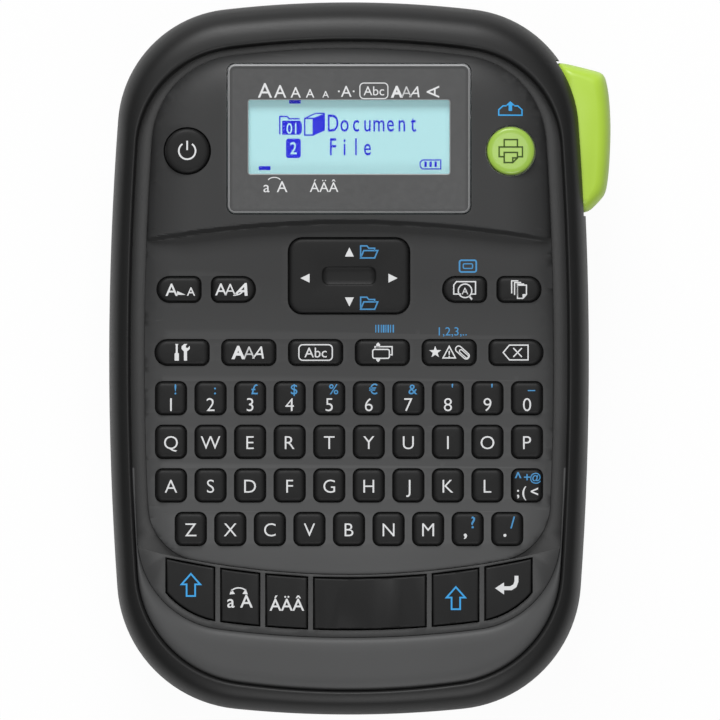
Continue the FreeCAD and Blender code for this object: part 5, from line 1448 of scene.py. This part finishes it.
def framed(key, width, height, x, y, radius, line):
    """Draw the outline of a rounded rectangle."""
    stroke(key, [(p.x, p.y) for p in rounded(width, height, 0, 0, radius)], x, y, line, closed=True)


def arch(x, y, reach, rise, degrees=range(165, 14, -15)):
    """Points along an arc round x, y."""
    angles = [math.radians(a) for a in degrees]
    return [(x + reach * math.cos(a), y + rise * math.sin(a)) for a in angles]


print("an arch has", len(arch(0, 0, 1, 1)), "points")

# %% [markdown]
# ## Letters and digits
# Every letter key has a white sign, and the digits have a blue one above. Rows of text would not meet the
# keys. Each sign is written at the centre of its own key, with the offsets named once.

# %% Letters, digits and shifted signs
SIGN = 3.35
DIGIT_DROP, LETTER_DROP = -1.65, -0.2
SHIFTED_AT = (1.15, 2.3)
LETTERS = {
    "digit_keys": "1234567890", "upper_letter_keys": "QWERTYUIOP", "home_letter_keys": "ASDFGHJKL ",
    "lower_letter_keys": "ZXCVBNM  ",
}
for name, signs in LETTERS.items():
    drop = DIGIT_DROP if name == "digit_keys" else LETTER_DROP
    for sign, (x, y) in zip(signs, row_places(name)):
        if sign != " ":
            write((name, WHITE_INK), sign, x, y + drop, SIGN, weight=-0.006)
for sign, (x, y) in zip(["!", ":", "£", "$", "%", "€", "&", "'", "'", "–"], row_places("digit_keys")):
    write(("digit_keys", BLUE_INK), sign, x + SHIFTED_AT[0], y + SHIFTED_AT[1], 2.5, weight=0.006)
x, y = row_places("home_letter_keys")[9]
for sign, offset, height in (("^", -2.3, 2.6), ("+", 0.0, 2.2), ("@", 2.2, 2.0)):
    write(("home_letter_keys", BLUE_INK), sign, x + offset, y + 2.1, height, weight=0.01)
for sign, offset in ((";", -2.3), ("(", -0.7), ("<", 1.9)):
    write(("home_letter_keys", WHITE_INK), sign, x + offset, y - 1.6, 2.6, weight=0.01)
for index, low_sign, high_sign in ((7, ",", "?"), (8, ".", "/")):
    x, y = row_places("lower_letter_keys")[index]
    write(("lower_letter_keys", WHITE_INK), low_sign, x - 0.6, y - 0.2, SIGN, weight=0.02)
    write(("lower_letter_keys", BLUE_INK), high_sign, x + 1.4, y + 1.7, 2.9, weight=0.01)
print("marks after letters", len(marks))

# %% [markdown]
# ## Signs on the upper and function keys
# These keys carry small drawings of what they do. Drawn by eye in a sketching tool, they would need a file.
# Strokes and filled areas round the middle of each key keep them as numbers in millimetres.

# %% Signs on the upper keys
def at(name):
    """The middle of a key, across and along."""
    middle = node_middle(name)
    return middle.x, middle.y


LINE = 0.32
x, y = at("text_size_key")
key = ("text_size_key", WHITE_INK)
write(key, "A", x - 1.9, y - 0.1, 3.1, weight=0.006)
area(key, [(-0.5, -1.5), (1.7, -1.5), (-0.5, -0.5)], x, y + 0.1)
write(key, "A", x + 3.1, y - 0.55, 2.1, weight=0.006)
x, y = at("font_key")
key = ("font_key", WHITE_INK)
write(key, "A", x - 3.2, y, 3.0, weight=0.004)
write(key, "A", x - 0.8, y, 2.9, weight=-0.006)
write(key, "A", x + 2.5, y, 3.1, weight=0.02, slant=0.45, squeeze=1.15)
stroke(key, [(0.4, -1.1), (0.9, -1.4), (1.6, -1.2), (2.3, -0.7)], x, y, LINE)
x, y = at("preview_key")
key = ("preview_key", WHITE_INK)
PAGE = [(-0.9, -1.2), (-2.8, -1.2), (-2.8, 1.1), (-2.1, 2.0), (2.8, 2.0), (2.8, -1.2), (1.7, -1.2)]
stroke(key, PAGE, x, y, LINE)
stroke(key, [tuple(p) for p in circle(1.75, 0.1, -0.35, 28)], x, y, LINE, closed=True)
stroke(key, [(1.1, -1.6), (1.9, -2.6)], x, y, 0.45)
write(key, "A", x + 0.1, y - 0.4, 1.7)
x, y = at("copies_key")
key = ("copies_key", WHITE_INK)
for shift in (0.0, 0.75, 1.5):
    base_x, base_y = -1.9 + shift, 2.2 - shift * 0.55
    stroke(key, [(base_x, base_y - 3.2), (base_x, base_y), (base_x + 1.7, base_y)], x, y, LINE)
stroke(key, [(-0.4, 1.1), (1.9, 1.1), (1.9, -1.3), (1.0, -2.3), (-0.4, -2.3)], x, y, LINE, closed=True)
area(key, [(0.9, -2.2), (0.9, -1.2), (1.9, -1.2)], x, y)
print("marks after the upper keys", len(marks))

# %% Signs on the function keys
x, y = at("setup_key")
key = ("setup_key", WHITE_INK)
area(key, [(-1.6, 0.0), (-1.1, 0.0), (-1.1, 1.9), (-0.95, 2.2), (-1.75, 2.2), (-1.6, 1.9)], x, y)
area(key, [(-1.9, -2.1), (-0.8, -2.1), (-0.8, -0.3), (-1.1, 0.0), (-1.6, 0.0), (-1.9, -0.3)], x, y)
area(key, [(0.5, -2.1), (1.3, -2.1), (1.3, 0.3), (2.0, 0.9), (2.0, 1.7), (1.5, 1.2), (1.0, 1.2), (1.0, 1.8),
           (1.4, 2.2), (0.6, 2.2), (-0.1, 1.6), (-0.1, 0.9), (0.5, 0.3)], x, y)
x, y = at("style_key")
key = ("style_key", WHITE_INK)
write(key, "A", x - 2.7, y, 3.1, weight=0.035)
write(("style_key", PALE_INK), "A", x + 0.1, y, 3.1, weight=-0.004)
write(key, "A", x + 2.8, y, 3.1, weight=0.002, slant=0.28)
x, y = at("frame_key")
key = ("frame_key", WHITE_INK)
framed(key, 8.6, 4.0, x, y, 1.0, LINE)
write(key, "Abc", x, y, 2.5, weight=0.002)
x, y = at("length_key")
key = ("length_key", WHITE_INK)
framed(key, 4.3, 2.3, x - 0.35, y - 0.35, 0.5, LINE)
stroke(key, [(-1.9, 1.1), (-1.9, 1.5), (2.5, 1.5), (2.5, -0.6), (2.0, -0.6)], x, y, LINE)
area(key, [(-1.6, 1.3), (-0.6, 1.3), (-0.6, 2.1), (-1.1, 2.6), (-1.6, 2.1)], x, y)
area(key, [(-1.6, -1.6), (-0.6, -1.6), (-0.6, -2.0), (-1.1, -2.5), (-1.6, -2.0)], x, y)
x, y = at("symbol_key")
key = ("symbol_key", WHITE_INK)
points = []
for tip in range(10):
    reach = 1.6 if tip % 2 == 0 else 0.66
    angle = math.radians(90 + 36 * tip)
    points.append((reach * math.cos(angle), reach * math.sin(angle)))
area(key, points, x - 3.6, y + 0.1)
stroke(key, [(-1.6, -1.4), (0.0, 1.6), (1.6, -1.4)], x, y, LINE, closed=True)
write(key, "!", x, y - 0.4, 1.6, weight=0.02)
clip = [turned((p.x, p.y), -42) for p in rounded(4.2, 1.6, 0, 0, 0.78)]
stroke(key, clip, x + 3.4, y, 0.28, closed=True)
clip = [turned((p.x, p.y), -42) for p in rounded(2.8, 0.8, 0.5, 0, 0.38)]
stroke(key, clip, x + 3.4, y, 0.25, closed=True)
x, y = at("delete_key")
key = ("delete_key", WHITE_INK)
stroke(key, [(-3.3, 0.0), (-1.7, 1.9), (3.1, 1.9), (3.1, -1.9), (-1.7, -1.9)], x, y, LINE, closed=True)
for way in (1, -1):
    stroke(key, [(-0.7, -1.15 * way), (1.5, 1.15 * way)], x, y, LINE)
print("marks after the function keys", len(marks))

# %% [markdown]
# ## Signs on pad, buttons and band
# Triangles point the four ways, and blue folders stand beside two of them. The buttons and the band carry
# their own signs. One triangle is turned four times, and one folder is drawn twice.

# %% Signs on the navigation pad
x, y = at("nav_pad")
key = ("nav_pad", WHITE_INK)
for place, angle in (((-11.3, -0.6), 180), ((11.3, -0.6), 0), ((0.1, 6.1), 90), ((0.1, -6.7), -90)):
    points = [turned(p, angle) for p in ((-1.15, -1.15), (1.2, 0.0), (-1.15, 1.15))]
    area(key, [(px + place[0], py + place[1]) for px, py in points], x, y)
key = ("nav_pad", BLUE_INK)
FOLDER_BACK = [(-2.1, -1.6), (-2.1, 1.5), (-0.5, 1.5), (0.0, 0.9), (1.5, 0.9), (1.5, 0.2)]
FOLDER_FRONT = [(-2.1, -1.6), (-1.3, 0.3), (2.3, 0.3), (1.5, -1.6)]
for fold_y in (6.2, -7.0):
    stroke(key, FOLDER_BACK, x + 5.1, y + fold_y, 0.36)
    stroke(key, FOLDER_FRONT, x + 5.1, y + fold_y, 0.36, closed=True)
print("marks after the pad", len(marks))

# %% Signs on the round buttons
x, y = at("power_button")
key = ("power_button", WHITE_INK)
stroke(key, arch(0, 0, 2.15, 2.15, range(125, 416, 10)), x, y, 0.42)
stroke(key, [(0.0, 0.2), (0.0, 2.6)], x, y, 0.42)
PRINT_INK = ink("print_ink", shown(62, 84, 26))
x, y = at("print_button")
key = ("print_button", PRINT_INK)
stroke(key, [(-1.7, 1.0), (-1.7, 2.9), (1.7, 2.9), (1.7, 1.0)], x, y, 0.4)
stroke(key, [(-1.7, -1.5), (-3.0, -1.5), (-3.0, 1.0), (3.0, 1.0), (3.0, -1.5), (1.7, -1.5)], x, y, 0.4)
stroke(key, [(-1.7, -0.4), (-1.7, -3.0), (0.5, -3.0), (1.7, -1.8), (1.7, -0.4)], x, y, 0.4, closed=True)
stroke(key, [(0.5, -3.0), (0.5, -1.8), (1.7, -1.8)], x, y, 0.4)
print("marks after the buttons", len(marks))

# %% Signs on the lower band
ARROW = [(0.0, 2.9), (2.4, 0.2), (1.1, 0.2), (1.1, -2.8), (-1.1, -2.8), (-1.1, 0.2), (-2.4, 0.2)]
for name, x, y in (("shift_left_key", -40.7, -58.2), ("shift_right_key", 27.5, -61.6)):
    stroke((name, ARROW_INK), ARROW, x, y, 0.42, closed=True)
key = ("caps_key", WHITE_INK)
write(key, "a", -30.4, -62.35, 3.2, weight=0.008)
write(key, "A", -26.4, -62.35, 3.2, weight=0.008)
stroke(key, arch(-28.4, -60.2, 2.0, 1.3), 0, 0, LINE)
for side in (1, -1):
    area(key, [(2.35 * side, -0.7), (0.95 * side, -0.55), (1.85 * side, 0.7)], -28.4, -59.9)
write(("accent_key", WHITE_INK), "ÁÄÂ", -16.0, -63.25, 3.0, weight=0.008)
key = ("return_key", WHITE_INK)
area(key, [(2.1, 2.4), (3.1, 2.4), (3.1, 0.9), (2.6, -0.5), (1.4, -1.3), (-0.6, -1.3), (-0.6, -2.4), (-2.9, -0.8),
           (-0.6, 0.7), (-0.6, -0.3), (1.0, -0.3), (1.8, 0.2), (2.1, 1.0)], 40.5, -58.2)
print("marks after the band", len(marks))

# %% [markdown]
# ## Blue signs on the deck
# Three blue signs are printed on the moulding above the keys. They lie on the pressed surface and not on a
# key, so they are gathered for the face panel and stay still when a key goes down.

# %% Blue signs on the deck
key = ("face_panel", BLUE_INK)
framed(key, 4.3, 3.0, 30.6, 23.9, 0.5, 0.42)
framed(key, 2.4, 1.2, 30.6, 23.9, 0.3, 0.3)
STRIPES = ((-2.3, 0.25), (-1.6, 0.35), (-0.9, 0.25), (-0.3, 0.45), (0.3, 0.25), (0.9, 0.4), (1.5, 0.25),
           (2.2, 0.35))
for place, wide in STRIPES:
    stroke(key, [(place, -0.9), (place, 1.1)], 9.2, 7.7, wide)
write(key, "1,2,3,..", 26.7, 7.1, 2.1, weight=0.0)
key = ("face_panel", ARROW_INK)
FEED_AT = (41.5, 64.2)
UP = [(-0.45, -0.4), (0.45, -0.4), (0.45, 1.0), (1.2, 1.0), (0.0, 2.1), (-1.2, 1.0), (-0.45, 1.0)]
stroke(key, [(-1.4, -1.5), (-3.0, -1.5), (-3.0, -0.1), (-1.9, 0.9), (-1.0, 0.9)], *FEED_AT, 0.34)
stroke(key, [(1.4, -1.5), (3.0, -1.5), (3.0, -0.1), (1.9, 0.9), (1.0, 0.9)], *FEED_AT, 0.34)
area(key, UP, *FEED_AT)
stroke(key, [(-1.4, -1.5), (1.4, -1.5)], *FEED_AT, 0.34)
print("marks after the deck", len(marks))

# %% [markdown]
# ## Signs on the window
# The margin of the window has rows of white signs, from large to small. Real ones are printed behind the
# plate. Here they lie on it, because the margin is a painted ring, and a loop shows the rule of their sizes.

# %% Signs on the window
key = ("display_window", WHITE_INK)
BASE = 67.2
for x, height in ((-21.6, 3.7), (-17.7, 3.2), (-13.7, 2.7), (-10.0, 2.2), (-6.0, 1.7)):
    write(key, "A", x, BASE + height / 2, height, weight=0.002)
write(key, "·A·", -0.7, BASE + 1.6, 2.8)
framed(key, 7.2, 4.0, 6.4, BASE + 1.75, 1.0, 0.26)
write(key, "Abc", 6.4, BASE + 1.75, 2.3)
write(key, "A", 12.3, BASE + 1.5, 2.8, weight=0.03)
write(("display_window", PALE_INK), "A", 14.8, BASE + 1.5, 2.8, weight=-0.004)
write(key, "A", 17.2, BASE + 1.5, 2.8, slant=0.3)
write(key, "A", 21.6, BASE + 1.5, 3.2, turn=90)
UNDER = 42.9
write(key, "a", -21.2, UNDER + 1.4, 2.8)
write(key, "A", -17.2, UNDER + 1.4, 2.8)
stroke(key, arch(-19.2, UNDER + 2.9, 1.6, 0.9), 0, 0, 0.24)
write(key, "ÁÄÂ", -6.4, UNDER + 1.3, 2.5)
print("marks after the window", len(marks))

# %% [markdown]
# ## Display content
# The display shows two lines of text, small blocks and a battery. Real dots would need thousands of faces.
# Bars and narrow letters at an even pitch read the same way and stay light.

# %% What the display shows
key = ("lcd_module", SCREEN_INK)


def bar(x0, y0, x1, y1):
    """A filled block between two corners on the display."""
    add(key, [(x0, y0), (x1, y0), (x1, y1), (x0, y1)], [(0, 1, 2, 3)])


bar(-15.4, 65.7, -12.4, 66.6)
bar(-23.2, 48.6, -20.2, 49.6)
stroke(key, [(-17.8, 57.8), (-17.8, 62.4), (-15.9, 62.4), (-15.4, 61.8), (-12.7, 61.8)], 0, 0, 0.35)
bar(-17.2, 57.7, -12.6, 61.3)
area(key, [(-12.6, 57.7), (-12.1, 58.6), (-12.1, 60.4), (-12.6, 61.3)], 0, 0)
stroke(key, [(-11.4, 57.6), (-11.4, 61.9), (-9.2, 61.9), (-9.2, 57.6)], 0, 0, 0.35, closed=True)
area(key, [(-9.1, 57.5), (-6.2, 58.8), (-6.2, 63.2), (-9.1, 62.0)], 0, 0)
stroke(key, [(-11.4, 61.9), (-8.6, 63.2), (-6.3, 63.2)], 0, 0, 0.3)
area(key, [(p.x, p.y) for p in rounded(3.8, 5.0, -14.3, 54.2, 0.7)], 0, 0)
for text, x0, pitch, y in (("Document", -4.1, 2.95, 60.7), ("File", -4.1, 2.95, 54.6)):
    for place, sign in enumerate(text):
        write(key, sign, x0 + pitch * place, y, 4.3, weight=0.004, squeeze=0.68)
BATTERY = [(18.9, 48.9), (23.6, 48.9), (23.6, 51.2), (18.9, 51.2), (18.3, 50.6), (18.3, 49.5)]
stroke(key, BATTERY, 0, 0, 0.3, closed=True)
for x in (19.7, 21.0, 22.3):
    bar(x - 0.3, 49.4, x + 0.3, 50.8)
CELL_INK = ink("cell_ink", shown(163, 209, 213), glow=0.25)
key = ("lcd_module", CELL_INK)
write(key, "01", -14.8, 59.3, 2.6, weight=0.01, squeeze=0.85)
write(key, "2", -14.3, 54.2, 3.0, weight=0.01, squeeze=0.85)
stroke(key, [(-10.7, 60.6), (-9.9, 60.6)], 0, 0, 0.5)
print("mark sets", len(marks))

# %% [markdown]
# ## Finish
# Every gathered mark becomes one mesh per surface and ink, dropped onto the piece below it.

# %% Find what is shown
LIFT = 0.05
CELL = 0.45
FLAT = ("display_window", "lcd_module")
NEAR = ((0.011, 0.007), (-0.013, 0.009), (0.005, -0.012))
ABOVE = 0.2


def shown_piece(name):
    """The piece that is seen in place of a node."""
    for made in scene.objects:
        if name in list(made.get("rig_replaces", [])):
            return made
    return frame["nodes"][name]


print("surfaces with marks", len({name for name, material in marks}))

# %% Lay the marks down
trees = {}
for (name, material), (points, faces) in marks.items():
    if name not in trees:
        data = shown_piece(name).data
        faces_of_piece = [tuple(p.vertices) for p in data.polygons]
        trees[name] = BVHTree.FromPolygons([v.co for v in data.vertices], faces_of_piece)
    lift = LIFT * (2 if material.name == "cell_ink" else 1)
    data = bpy.data.meshes.new("marks")
    data.from_pydata([(x * MM, y * MM, 0) for x, y in points], [], faces)
    work = bmesh.new()
    work.from_mesh(data)
    work.normal_update()
    for polygon in work.faces:
        if polygon.normal.z < 0:
            polygon.normal_flip()
    if name not in FLAT:
        for axis in (0, 1):
            line = min(v.co[axis] for v in work.verts)
            last = max(v.co[axis] for v in work.verts)
            while line < last:
                line += CELL * MM
                place, normal = Vector((0, 0, 0)), Vector((0, 0, 0))
                place[axis], normal[axis] = line, 1.0
                cut_through(work, place, normal, dist=1e-8)
    for vertex in work.verts:
        starts = [vertex.co + Vector((u * MM, v * MM, ABOVE)) for u, v in NEAR]
        rays = [trees[name].ray_cast(start, Vector((0, 0, -1)))[0] for start in starts]
        vertex.co.z = max(hit.z for hit in rays if hit is not None) + lift * MM
    work.to_mesh(data)
    work.free()
    laid = bpy.data.objects.new(name + "_" + material.name, data)
    scene.collection.objects.link(laid)
    settle(laid, material, body_of(name))
print("mark pieces", len(marks))
